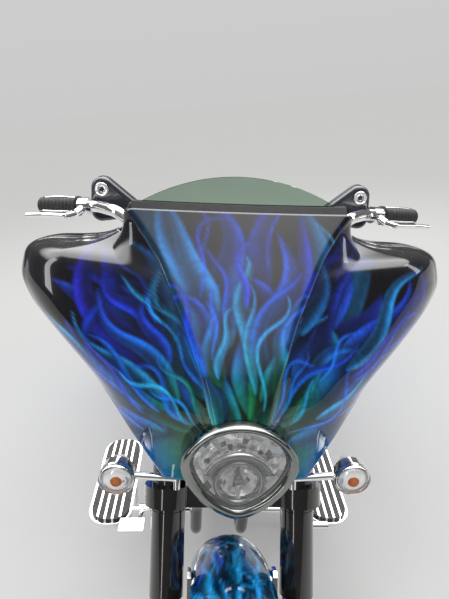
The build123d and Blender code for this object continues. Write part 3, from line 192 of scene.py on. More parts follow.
class Nodes:
    """Short names for the shader nodes that the materials use."""

    def __init__(self, tree):
        self.tree = tree

    def add(self, kind, **settings):
        node = self.tree.nodes.new("ShaderNode" + kind)
        for key, value in settings.items():
            setattr(node, key, value)
        return node

    def link(self, source, target):
        self.tree.links.new(source, target)

    def place(self, scale=(1, 1, 1)):
        """Object coordinates, stretched."""
        coord = self.add("TexCoord")
        mapping = self.add("Mapping")
        mapping.inputs["Scale"].default_value = scale
        self.link(coord.outputs["Object"], mapping.inputs["Vector"])
        return mapping.outputs["Vector"]

    def noise(self, vector, scale, detail=3.0, rough=0.5, warp=0.0):
        node = self.add("TexNoise")
        node.inputs["Scale"].default_value = scale
        node.inputs["Detail"].default_value = detail
        node.inputs["Roughness"].default_value = rough
        node.inputs["Distortion"].default_value = warp
        self.link(vector, node.inputs["Vector"])
        return node.outputs["Fac"]

    def ramp(self, value, *stops):
        node = self.add("ValToRGB")
        ramp = node.color_ramp
        while len(ramp.elements) < len(stops):
            ramp.elements.new(0.5)
        for element, (position, color) in zip(ramp.elements, stops):
            element.position = position
            element.color = color if len(color) == 4 else (*color, 1)
        self.link(value, node.inputs["Fac"])
        return node.outputs["Color"]

    def band(self, value, low, high, out_low=0.0, out_high=1.0):
        node = self.add("MapRange", clamp=True)
        for key, number in (("From Min", low), ("From Max", high), ("To Min", out_low), ("To Max", out_high)):
            node.inputs[key].default_value = number
        self.link(value, node.inputs["Value"])
        return node.outputs["Result"]

    def math(self, operation, first, second=None, third=None):
        node = self.add("Math", operation=operation)
        for socket, value in zip(node.inputs, (first, second, third)):
            if value is None:
                continue
            if isinstance(value, (int, float)):
                socket.default_value = value
            else:
                self.link(value, socket)
        return node.outputs[0]

    def mix(self, factor, first, second, blend="MIX"):
        node = self.add("MixRGB", blend_type=blend)
        for socket, value in zip(node.inputs, (factor, first, second)):
            if isinstance(value, (int, float)):
                socket.default_value = value
            elif isinstance(value, tuple):
                socket.default_value = (*value, 1)
            else:
                self.link(value, socket)
        return node.outputs[0]

    def bump(self, height, shader, distance=0.0002, strength=1.0):
        node = self.add("Bump")
        node.inputs["Distance"].default_value = distance
        node.inputs["Strength"].default_value = strength
        self.link(height, node.inputs["Height"])
        self.link(node.outputs["Normal"], shader.inputs["Normal"])


def grey(value):
    return (value, value, value)


def mottled(name, low, high, rough, scale=40.0, metal=0.0, bump=0.0, bump_scale=200.0, **sockets):
    """Material whose colour and roughness wander between two values."""
    mat, nodes, shader = new_material(name, low, rough[0], metal, **sockets)
    vector = nodes.place()
    wander = nodes.noise(vector, scale, 4)
    nodes.link(nodes.ramp(wander, (0.3, low), (0.7, high)), shader.inputs["Base Color"])
    nodes.link(nodes.band(wander, 0.3, 0.7, *rough), shader.inputs["Roughness"])
    if bump:
        nodes.bump(nodes.noise(vector, bump_scale, 3), shader, bump)
    return mat


# Flame colours, from the root of the flames to their tips
GREEN = (0.004, 0.230, 0.070)
TEAL = (0.004, 0.290, 0.330)
CYAN = (0.020, 0.460, 0.880)
AZURE = (0.004, 0.190, 0.850)
BLUE = (0.004, 0.040, 0.800)
VIOLET = (0.022, 0.018, 0.600)
BLACK = (0.0015, 0.0015, 0.004)


def flame_shader(name, start, end):
    """Gloss black with blue licks that taper off from a start to an end along the machine, in metres."""
    mat, nodes, shader = new_material(name, BLACK, 0.22, Coat_Weight=1.0, Coat_Roughness=0.03)
    coord = nodes.add("TexCoord")
    split = nodes.add("SeparateXYZ")
    nodes.link(coord.outputs["Object"], split.inputs[0])
    limit = nodes.band(split.outputs["Y"], start, end, 0.36, 0.72)
    color = None
    for stretch, warp, glow in (((7, 1.3, 7), 0.5, AZURE), ((11, 2.1, 11.7), 0.35, CYAN)):
        licks = nodes.noise(nodes.place(stretch), 1.0, 1.5, 0.4, warp)
        over = nodes.band(nodes.math("SUBTRACT", licks, limit), -0.10, 0.30)
        layer = nodes.ramp(over, (0.18, BLACK), (0.25, glow), (0.31, AZURE), (0.48, BLUE),
                           (0.9, (0.002, 0.006, 0.13)))
        if color is None:
            color = layer
        else:
            cover = nodes.band(over, 0.20, 0.26)
            color = nodes.mix(cover, color, layer)
    nodes.link(color, shader.inputs["Base Color"])
    return mat


def painted_shader():
    """Gloss paint whose flames are worked out point by point when the mesh is made."""
    mat, nodes, shader = new_material("flame_artwork", BLACK, 0.25, Coat_Weight=1.0, Coat_Roughness=0.02,
                                      Coat_IOR=1.55, Specular_IOR_Level=0.1)
    paint = nodes.add("Attribute", attribute_name="flames")
    wisps = nodes.noise(nodes.place((1, 1, 0.45)), 26, 3, 0.55, 1.8)
    ridge = nodes.math("SUBTRACT", 1.0, nodes.math("ABSOLUTE", nodes.math("MULTIPLY_ADD", wisps, 2.0, -1.0)))
    lift = nodes.band(nodes.math("POWER", ridge, 5.0), 0.0, 1.0, 0.85, 1.35)
    color = nodes.mix(1.0, paint.outputs["Color"], lift, "MULTIPLY")
    nodes.link(color, shader.inputs["Base Color"])
    nodes.link(nodes.band(wisps, 0.3, 0.7, 0.20, 0.30), shader.inputs["Roughness"])
    return mat


def make_materials():
    made = {}

    def look(name, *values, **sockets):
        made[name] = mottled(name, *values, **sockets)

    look("black_paint", grey(0.010), grey(0.016), (0.10, 0.16), 12, bump=0.00002, bump_scale=900,
         Coat_Weight=0.6, Coat_Roughness=0.04)
    look("black_metal", (0.020, 0.018, 0.017), (0.032, 0.029, 0.027), (0.26, 0.36), 30, bump=0.00006,
         bump_scale=700, Coat_Weight=0.35, Coat_Roughness=0.18)
    look("chrome", grey(0.80), grey(0.90), (0.04, 0.09), 18, metal=1.0)
    look("aluminium", grey(0.48), grey(0.62), (0.30, 0.42), 60, metal=1.0, bump=0.00004)
    look("steel", grey(0.46), grey(0.58), (0.22, 0.36), 50, metal=1.0, bump=0.00004)
    look("tyre", grey(0.018), grey(0.032), (0.62, 0.80), 25, bump=0.00015, bump_scale=260)
    look("rubber", grey(0.016), grey(0.028), (0.50, 0.65), 60, bump=0.00010, bump_scale=500)
    look("leather", grey(0.014), grey(0.026), (0.38, 0.52), 60, bump=0.00030, bump_scale=420)
    look("black_plastic", grey(0.020), grey(0.032), (0.38, 0.50), 60, bump=0.00012, bump_scale=900)
    look("red_lens", (0.38, 0.012, 0.012), (0.50, 0.02, 0.016), (0.08, 0.14), 40,
         bump=0.0004, bump_scale=160, Coat_Weight=0.8, Coat_Roughness=0.03)
    look("glass", grey(0.96), grey(1.0), (0.0, 0.02), 20, Transmission_Weight=1.0, IOR=1.3)
    look("clear", grey(0.45), grey(0.52), (0.0, 0.02), 20, Alpha=0.12)
    look("smoke_glass", (0.33, 0.44, 0.35), (0.36, 0.47, 0.38), (0.02, 0.05), 10,
         Transmission_Weight=1.0, IOR=1.15)
    made["flame_paint"] = flame_shader("flame_paint", -1.0, 0.6)
    made["flame_tank"] = flame_shader("flame_tank", -0.42, 0.22)
    made["flame_bags"] = flame_shader("flame_bags", 0.50, 1.20)
    made["flame_rear"] = flame_shader("flame_rear", 0.45, 1.30)
    made["artwork"] = painted_shader()
    look("slate", (0.022, 0.024, 0.034), (0.030, 0.033, 0.048), (0.22, 0.30), 20,
         Coat_Weight=0.7, Coat_Roughness=0.05)
    look("amber", (0.75, 0.16, 0.015), (0.85, 0.22, 0.02), (0.10, 0.2), 60, Transmission_Weight=0.25)
    # bright, and the mid and darkened metals below, are three levels of one mirror metal; on the lamp's facets
    # they are painted reflection
    look("bright", grey(0.90), grey(0.95), (0.05, 0.09), 25, metal=0.55)
    # Painted reflection: chrome darkened to about a quarter of its brightness, standing in for the dark ground and
    # machine that it would reflect; on the lamp's rim and the projector's ring
    look("dark_chrome", (0.20, 0.21, 0.20), (0.28, 0.29, 0.28), (0.05, 0.09), 18, metal=1.0)
    look("smoked", (0.12, 0.13, 0.11), (0.19, 0.20, 0.17), (0.10, 0.16), 30, metal=0.7)
    look("satin", grey(0.50), grey(0.62), (0.12, 0.20), 30, metal=0.6)
    look("black_gloss", (0.006, 0.005, 0.0045), (0.012, 0.010, 0.009), (0.10, 0.16), 20,
         Coat_Weight=1.0, Coat_Roughness=0.02)
    look("mirror", grey(0.90), grey(0.94), (0.01, 0.03), 8, metal=1.0)
    look("dial", grey(0.012), grey(0.018), (0.35, 0.45), 30)
    look("mark", grey(0.75), grey(0.82), (0.4, 0.5), 60)
    return made


MATERIALS = make_materials()

# Carried-over nodes with a look of their own in place of their slot's
FINISHES = {
    "mirrors": "slate",
    "headlamp_lens": "clear",
    "fork_tubes": "black_gloss",
    "fork_clamps": "black_gloss",
    "fuel_tank": "flame_tank",
    "rear_fender": "flame_rear",
    "bag_tub_left": "flame_bags",
    "bag_tub_right": "flame_bags",
    "bag_lid_left": "flame_bags",
    "bag_lid_right": "flame_bags",
}


def dress_frame():
    """Each carried-over node takes its own look, or else the one of its slot in the record."""
    for row in frame["record"]["subparts"]:
        node = frame["nodes"][row["node"]]
        node.data.materials.clear()
        name = FINISHES.get(row["node"], row["material_slot"])
        node.data.materials.append(MATERIALS[name])


# Meshes: points are in millimetres of the upright machine

def to_world(points):
    """World metres from millimetres of the upright machine."""
    return np.asarray(points, float) / 1000 @ BIKE_TURN.T + BIKE_PLACE


def from_axle(points):
    """Machine millimetres from millimetres measured from the front axle."""
    return np.asarray(points, float) + (0, FRONT_Y, FRONT_Z)


def from_lamp(points):
    """Machine millimetres from the headlamp's own frame: x, depth and height."""
    x, depth, height = np.asarray(points, float).T
    a = radians(LAMP_TILT)
    back, up = depth * cos(a) + height * sin(a), height * cos(a) - depth * sin(a)
    return from_axle(np.stack([x, back + LAMP_BACK, up + LAMP_UP], axis=1))


def in_fork(x, y, s):
    """Machine point from fork coordinates, s along the legs from the axle."""
    return (x, FRONT_Y + y * cos(RAKE) + s * sin(RAKE), FRONT_Z - y * sin(RAKE) + s * cos(RAKE))


def piece(name, points, faces, material, body, slot, flat=False):
    """Mesh object that rides on a body."""
    mesh = bpy.data.meshes.new(name)
    mesh.from_pydata(to_world(points).tolist(), [], [tuple(int(i) for i in face) for face in faces])
    mesh.materials.append(MATERIALS[material])
    mesh.polygons.foreach_set("use_smooth", [not flat] * len(mesh.polygons))
    made = bpy.data.objects.new(name, mesh)
    bpy.context.scene.collection.objects.link(made)
    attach(made, body)
    return made


def grid_faces(rows, columns, wrap=False, close=False):
    """Quads of a grid of points; wrap joins the last column to the first, close the last row."""
    across = np.arange(columns if wrap else columns - 1)
    along = np.arange(rows if close else rows - 1)[:, None]
    a = along * columns + across
    b = along * columns + (across + 1) % columns
    step = ((along + 1) % rows) * columns
    return np.stack([a, b, step + (across + 1) % columns, step + across], axis=-1).reshape(-1, 4)


def tube_faces(rows, columns):
    """Quads round a tube of rings, with both ends closed."""
    faces = [tuple(face) for face in grid_faces(rows, columns, wrap=True)]
    faces.append(tuple(range(columns))[::-1])
    faces.append(tuple(range((rows - 1) * columns, rows * columns)))
    return faces


def prism_faces(count):
    """Faces of a prism, from the corners of one end and then of the other."""
    around = [(i, (i + 1) % count, count + (i + 1) % count, count + i) for i in range(count)]
    return [tuple(range(count)), tuple(range(count, 2 * count))[::-1]] + around


def flipped(faces):
    return faces[:, ::-1]


def frame_of(axis):
    """Two directions square to an axis."""
    axis = np.asarray(axis, float) / np.linalg.norm(axis)
    side = np.cross(axis, (0, 0, 1) if abs(axis[2]) < 0.9 else (0, 1, 0))
    side /= np.linalg.norm(side)
    return axis, side, np.cross(axis, side)


def lathe(centre, axis, profile, segments=48):
    """Points and faces of a profile of (distance along, radius) turned about an axis."""
    axis, side, other = frame_of(axis)
    angles = np.linspace(0, 2 * pi, segments, endpoint=False)
    round_ = np.cos(angles)[:, None] * side + np.sin(angles)[:, None] * other
    points = [np.asarray(centre) + axis * along + round_ * radius for along, radius in profile]
    return np.concatenate(points), grid_faces(len(profile), segments, wrap=True)


def join(parts):
    """One list of points and faces from several."""
    points, faces, start = [], [], 0
    for some, quads in parts:
        points.append(np.asarray(some, float))
        faces.extend([tuple(int(i) + start for i in quad) for quad in quads])
        start += len(some)
    return np.concatenate(points), faces


def both_sides(points, faces):
    """A mesh and its mirror image on the other side."""
    points = np.asarray(points, float)
    turned = [tuple(face)[::-1] for face in faces]
    return join([(points, faces), (points * (-1, 1, 1), turned)])


def turned_pair(name, centre, axis, profile, segments, material, slot):
    """A turned piece of the fork and its mirror image."""
    return piece(name, *both_sides(*lathe(centre, axis, profile, segments)), material, "fork", slot)


def tube(points, radius, segments=16):
    """Round bar along a line of points, closed at both ends."""
    points = np.asarray(points, float)
    rings, side = [], None
    angles = np.linspace(0, 2 * pi, segments, endpoint=False)
    for i, point in enumerate(points):
        ahead = points[min(i + 1, len(points) - 1)] - points[max(i - 1, 0)]
        ahead /= np.linalg.norm(ahead)
        if side is None:
            side = frame_of(ahead)[1]
        side = side - ahead * side.dot(ahead)
        side /= np.linalg.norm(side)
        other = np.cross(ahead, side)
        rings.append(point + radius * (np.cos(angles)[:, None] * side + np.sin(angles)[:, None] * other))
    return np.concatenate(rings), tube_faces(len(points), segments)


def bolt_heads(places, radius, height):
    """Domed cap screws with a hollow centre at (point, direction) places."""
    shape = ((-0.2, 1.0), (0.65, 1.0), (0.95, 0.85), (1.0, 0.55), (0.55, 0.5), (0.5, 0.0))
    profile = [(height * along, radius * out) for along, out in shape]
    return join([lathe(point, axis, profile, 12) for point, axis in places])


def bolt_circle(x, y, z, radius, angles):
    """Places on a circle that faces out to the machine's side."""
    return [((x, y + radius * cos(a), z + radius * sin(a)), (np.sign(x), 0, 0)) for a in angles]


# Flames: each is a stroke along a bent line, wide at its root and pointed at its tip

def smooth_step(value, low, high):
    t = np.clip((value - low) / (high - low), 0, 1)
    return t * t * (3 - 2 * t)


def palette(level):
    """Colour of a flame from its root, 0, to its tip, 1."""
    stops = np.array([0.0, 0.07, 0.19, 0.46, 0.85, 1.0])
    colors = np.array([GREEN, TEAL, AZURE, BLUE, VIOLET, VIOLET])
    return np.stack([np.interp(level, stops, colors[:, i]) for i in range(3)], axis=-1)


class Stroke:
    """Flame lick in the plane of the paint, in millimetres."""

    def __init__(self, root, heading, length, width, bend, wave, phase, pointed):
        t = np.linspace(0, 1, int(length / max(1.6, 0.09 * width)))
        angle = heading + bend * t * t + wave * np.sin(2 * pi * t * 1.1 + phase) * (0.4 + t)
        step = length / len(t)
        self.line = np.stack([root[0] + np.cumsum(np.sin(angle)) * step,
                              root[1] + np.cumsum(np.cos(angle)) * step], axis=1)
        body = (1 - t) ** 0.8 * np.minimum(t / 0.22, 1) ** 0.7 if pointed else np.sin(pi * t) ** 0.9
        self.width = width * np.maximum(body, 0.0)
        self.reach = width * 2 + 24
        self.side = np.stack([np.cos(angle), -np.sin(angle)], axis=1)

    def near(self, points):
        """Indices of the points near the stroke, how far outside its edge each is, and on which side."""
        low, high = self.line.min(0) - self.reach, self.line.max(0) + self.reach
        index = np.nonzero(np.all((points > low) & (points < high), axis=1))[0]
        if not len(index):
            return index, None, None
        gap = np.linalg.norm(points[index][:, None, :] - self.line[None], axis=2) - self.width[None]
        best = gap.argmin(1)
        offset = points[index] - self.line[best]
        side = (offset * self.side[best]).sum(1) / np.maximum(self.width[best], 1.0)
        return index, gap.min(1), side


def airbrush(color, points, level, stroke, tint, bright, core, glow, shadow, hand):
    """One lick over the paint: a bright edge, more so on one side, a dark heart, and a shadow behind."""
    index, out, side = stroke.near(points)
    if not len(index):
        return
    inside = (1 - smooth_step(out, -4.5, 3.5))[:, None]
    ink = palette(np.clip(level[index] + tint[1], 0, 1))
    ink = (ink * (1 - tint[0]) + np.array(CYAN) * tint[0]) * bright
    lit = smooth_step(side * hand, -0.7, 1.0)
    edge = np.exp(np.minimum(out, 0) / (glow * (0.35 + 1.5 * lit))) * (0.30 + 0.70 * lit)
    heart = (core + (1 - core) * edge)[:, None]
    dim = (1 - shadow * np.exp(-np.maximum(out, 0) / 9.0))[:, None]
    color[index] = color[index] * dim * (1 - inside) + ink * heart * inside


def draw_flames(points, level, ground, roots, seed, scale=1.0, accent=0.3):
    """Flame colours at points of the paint's plane; roots gives a place and a heading for a share 0 to 1."""
    rng = np.random.default_rng(seed)
    color = np.array(BLACK) + palette(level) * ground[:, None]
    # Licks of each layer: count, length, half width, wave, lift, brightness, heart, glow, shadow
    layers = (
        (20, (260, 460), (44, 70), (0.15, 0.40), (0, 120), 0.75, 0.05, 34, 0.35),
        (26, (220, 420), (26, 44), (0.25, 0.60), (0, 170), 1.00, 0.03, 20, 0.70),
        (26, (140, 290), (13, 24), (0.30, 0.70), (0, 240), 1.15, 0.05, 10, 0.65),
        (20, (90, 190), (5, 9), (0.30, 0.80), (0, 300), 1.25, 0.25, 5, 0.50),
        (16, (90, 220), (1.6, 2.8), (0.40, 0.80), (20, 320), 1.35, 0.80, 4, 0.20),
    )
    for count, length, width, wave, lift, bright, core, glow, shadow in layers:
        order = (rng.permutation(count) + 0.5) / count
        for share in order:
            place, heading = roots(np.clip(share + rng.normal(0, 0.4 / count), 0, 1))
            rise = rng.uniform(*lift) * scale
            start = (place[0] + sin(heading) * rise, place[1] + cos(heading) * rise)
            stroke = Stroke(start, heading + rng.normal(0, 0.12), rng.uniform(*length) * scale,
                            rng.uniform(*width) * scale, rng.normal(0, 0.75) - heading * 0.12,
                            rng.uniform(*wave), rng.uniform(0, 6.3), lift[0] == 0)
            tint = (rng.uniform(0.45, 0.9) if rng.uniform() < accent else rng.uniform(0, 0.15),
                    rng.uniform(-0.16, 0.16))
            hand = rng.choice((-1, 1))
            airbrush(color, points, level, stroke, tint, bright, core, glow * scale, shadow, hand)
    return np.clip(color, 0, 0.95)


def paint(made, color):
    """Give a mesh its flame colours."""
    layer = made.data.color_attributes.new("flames", "FLOAT_COLOR", "POINT")
    full = np.concatenate([color, np.ones((len(color), 1))], axis=1)
    layer.data.foreach_set("color", full.astype(np.float32).ravel())


def apply_modifier(made, modifier):
    bpy.context.view_layer.objects.active = made
    with bpy.context.temp_override(object=made, active_object=made, selected_objects=[made]):
        bpy.ops.object.modifier_apply(modifier=modifier.name)


def thicken(made, wall):
    """Turn a sheet into a shell, on the side that its faces turn their backs to."""
    modifier = made.modifiers.new("wall", "SOLIDIFY")
    modifier.thickness = wall / 1000
    modifier.offset = -1
    apply_modifier(made, modifier)


def coordinates(mesh):
    points = np.empty(3 * len(mesh.vertices))
    mesh.vertices.foreach_get("co", points)
    return points.reshape(-1, 3)


def arc(a, b, c, count):
    """Points of the circular arc through three points of a plane."""
    (ax, ay), (bx, by), (cx, cy) = a, b, c
    d = 2 * (ax * (by - cy) + bx * (cy - ay) + cx * (ay - by))
    if abs(d) < 1e-6:
        t = np.linspace(0, 1, count)[:, None]
        return np.array(a) * (1 - t) + np.array(c) * t
    sa, sb, sc = ax * ax + ay * ay, bx * bx + by * by, cx * cx + cy * cy
    ux = (sa * (by - cy) + sb * (cy - ay) + sc * (ay - by)) / d
    uy = (sa * (cx - bx) + sb * (ax - cx) + sc * (bx - ax)) / d
    start, middle, end = (atan2(y - uy, x - ux) for x, y in (a, b, c))
    turn = (end - start) % (2 * pi)
    if (middle - start) % (2 * pi) > turn:
        turn -= 2 * pi
    angle = start + np.linspace(0, 1, count) * turn
    radius = sqrt((ax - ux) ** 2 + (ay - uy) ** 2)
    return np.stack([ux + radius * np.cos(angle), uy + radius * np.sin(angle)], axis=1)


def straight(a, b, count):
    t = np.linspace(0, 1, count)[:, None]
    return np.array(a) * (1 - t) + np.array(b) * t


def eased(values, width):
    """Rows of values smoothed along the first axis, with the first and last row kept."""
    offsets = np.arange(-2 * width, 2 * width + 1)
    weights = np.exp(-(offsets / width) ** 2)
    weights /= weights.sum()
    before = 2 * values[0] - values[1:2 * width + 1][::-1]
    after = 2 * values[-1] - values[-2 * width - 1:-1][::-1]
    padded = np.concatenate([before, values, after])
    return np.stack([(padded[i:i + len(weights)] * weights[:, None]).sum(0) for i in range(len(values))])


# Fairing

def lamp_outline(grow, count=24):
    """Headlamp outline seen from the front, clockwise from the top."""
    half = LAMP_HALF + grow
    top, low = LAMP_TOP + grow, LAMP_BOTTOM - grow
    knee = (half * 0.66, low * 0.62)
    upper = arc((-half, 0), (0, top), (half, 0), 2 * count)
    lower = arc((half, 0), knee, (0, low), count)
    line = np.concatenate([upper, lower[1:], (lower[::-1] * (-1, 1))[1:-1]])
    line = np.roll(line, -count, axis=0)
    for _ in range(max(1, count * count // 90)):
        line = 0.25 * np.roll(line, 1, axis=0) + 0.5 * line + 0.25 * np.roll(line, -1, axis=0)
    return line


def in_lamp(points, grow):
    """Whether machine points lie within the headlamp's outline, seen along its axis."""
    local = np.asarray(points) - from_axle((0, LAMP_BACK, LAMP_UP))
    a = radians(LAMP_TILT)
    x, z = local[:, 0], local[:, 1] * sin(a) + local[:, 2] * cos(a)
    line = lamp_outline(grow)
    inside = np.zeros(len(x), bool)
    for (x1, z1), (x2, z2) in zip(line, np.roll(line, -1, axis=0)):
        if z1 == z2:
            continue
        crosses = (z1 > z) != (z2 > z)
        inside ^= crosses & (x < (x2 - x1) * (z - z1) / (z2 - z1) + x1)
    return inside


def fairing_line(row):
    """One half contour of the fairing at a height, from the centre to the rolled edge."""
    height, centre_y, centre_x, step, in_x, in_y, out_x, out_y, edge_x, edge_y, roll = row
    side_y = centre_y + centre_x ** 2 / (2 * PANEL_R)
    turn = (edge_x - 0.35 * roll, edge_y)
    mid = ((out_x + turn[0]) / 2 + WING_BULGE * (edge_y - out_y),
           (out_y + edge_y) / 2 - WING_BULGE * (turn[0] - out_x))
    x = np.linspace(0, centre_x, CENTRE_COLUMNS)
    parts = [
        np.stack([x, centre_y + x ** 2 / (2 * PANEL_R)], axis=1),
        straight((centre_x, side_y), (centre_x + 4, side_y + step), 7)[1:],
        straight((centre_x + 4, side_y + step), (in_x, in_y), 10)[1:],
        straight((in_x, in_y), (out_x, out_y), 24)[1:],
        arc((out_x, out_y), mid, turn, 48)[1:],
        arc(turn, (edge_x, edge_y + 0.8 * roll), (edge_x - 0.5 * roll, edge_y + 1.7 * roll), 16)[1:],
    ]
    line = np.concatenate(parts)
    soft = line.copy()
    for _ in range(2):
        soft[1:-1] = 0.25 * soft[:-2] + 0.5 * soft[1:-1] + 0.25 * soft[2:]
    soft[0], soft[-1] = line[0], line[-1]
    return soft


def wing_share(columns):
    """How far each column belongs to a wing: 0 on the centre panel, 1 past the step beside it."""
    off_centre = np.abs(np.arange(columns) - columns // 2)
    return smooth_step(off_centre, CENTRE_COLUMNS + 4, CENTRE_COLUMNS + 16)


def fairing_points():
    """Grid of the fairing's points, one row for each height and one column across."""
    rows = np.array(FAIRING_ROWS, float)
    heights = np.linspace(rows[0, 0], rows[-1, 0], FAIRING_STEPS)
    table = np.stack([np.interp(heights, rows[:, 0], rows[:, i]) for i in range(rows.shape[1])], axis=1)
    table = eased(table, 5)
    table[:, 0] = heights
    halves = np.stack([fairing_line(row) for row in table])
    full = np.concatenate([halves[:, :0:-1] * (-1, 1), halves], axis=1)
    wing = wing_share(full.shape[1])
    top = heights[-1]
    height = heights[:, None] - SHOULDER_DROP * smooth_step(heights, SHOULDER_START, top)[:, None] * wing
    back = full[..., 1] + SHOULDER_ROLL * smooth_step(heights, SHOULDER_START + 30, top)[:, None] ** 2 * wing
    return np.stack([full[..., 0], back, height], axis=-1)


def fan_roots(spread, radius, centre):
    """Roots on an arc about a centre, headings fanned outwards; a share 0 to 1 runs from right to left."""
    def place(share):
        angle = (share - 0.5) * 2 * spread
        return (centre[0] + radius * sin(angle), centre[1] + radius * cos(angle)), angle * 0.86
    return place


def build_fairing():
    shape = fairing_points()
    rows, columns = shape.shape[:2]
    points = from_axle(shape.reshape(-1, 3))
    faces = grid_faces(rows, columns)
    outside = ~in_lamp(points, -2.5)
    faces = faces[outside[faces].any(axis=1)]
    # The faces look inwards, so the wall goes outwards from the sheet
    made = piece("fairing", points, flipped(faces), "artwork", "fork", "flame_paint")

    steps = np.linalg.norm(np.diff(shape[..., :2], axis=1), axis=2)
    along = np.concatenate([np.zeros((rows, 1)), np.cumsum(steps, axis=1)], axis=1)
    along -= along[:, [columns // 2]]
    climb = shape[..., 2] * SLOPE
    plane = np.stack([along.ravel(), climb.ravel()], axis=1)
    middle = (0, LAMP_UP * SLOPE)
    reach = np.linalg.norm(plane - middle, axis=1)
    level = np.clip((reach - 95) / 420, 0, 1)
    ground = 0.42 * (1 - smooth_step(reach, 110, 330))
    color = draw_flames(plane, level, ground, fan_roots(1.75, 60, middle), 7)
    wing = np.tile(wing_share(columns), rows)
    high = shape[..., 2].ravel()
    dark = smooth_step(reach, 400, 560) * 0.4 + smooth_step(high, 722, 806) * 0.72 * wing
    dark = np.clip(dark + smooth_step(high, 780, 880) * 0.6 * (1 - wing), 0, 0.94)
    color = color * (1 - dark)[:, None] + np.array(BLACK) * dark[:, None]
    # Painted shade: the step walls beside the centre panel are darkened by up to 55 per cent towards the top,
    # standing in for the dark that these outward-facing walls would reflect
    shaded_step_columns = np.zeros(columns)
    middle_column = columns // 2
    for side in (1, -1):
        lowest, highest = sorted(middle_column + side * (CENTRE_COLUMNS + step) for step in (4, 15))
        shaded_step_columns[lowest:highest] = 1
    step_wall_shade = np.tile(shaded_step_columns, rows) * smooth_step(climb.ravel(), 720, 900)
    color = color * (1 - 0.55 * step_wall_shade)[:, None]
    paint(made, color)
    thicken(made, FAIRING_WALL)
    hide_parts("fairing_shell")


# Headlamp

def rim_line(inward, count=24):
    """The lamp's outline drawn inwards, by more at the sides and the bottom than at the top."""
    narrow, wide = lamp_outline(-inward, count), lamp_outline(-RIM_SPREAD * inward, count)
    low = smooth_step(-narrow[:, 1], -0.75 * LAMP_TOP, 0.3 * LAMP_TOP)[:, None]
    return narrow * (1 - low) + wide * low


def build_lamp_bezel():
    """Bowl of the lamp with a rounded chrome rim."""
    rim = LAMP_RIM
    profile = ((0, 66), (0, 9), (0.8, 4), (2.8, 0.9), (0.5 * rim, 0), (rim - 2.8, 0.9), (rim - 0.8, 4),
               (rim, 9), (rim, 56))
    rings = []
    for inward, depth in profile:
        line = rim_line(inward)
        rings.append(np.stack([line[:, 0], np.full(len(line), float(depth)), line[:, 1]], axis=1))
    faces = tube_faces(len(profile), len(rings[0]))
    # Painted reflection: the rim's chrome is darkened in place of the dark ground that it would reflect
    made = piece("lamp_bezel", from_lamp(np.concatenate(rings)), faces, "dark_chrome", "fork", "chrome")
    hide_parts("headlamp_shell")


def paint_facet_reflections(made, shades, rng):
    """Painted reflection: give each facet, at random, one of a few copies of one mirror metal, bright to dark, in
    place of the varied things it would reflect.
    """
    for name in shades[1:]:
        made.data.materials.append(MATERIALS[name])
    choice = rng.choice(len(shades), len(made.data.polygons), p=(0.60, 0.26, 0.14))
    made.data.polygons.foreach_set("material_index", choice.astype(np.int32))


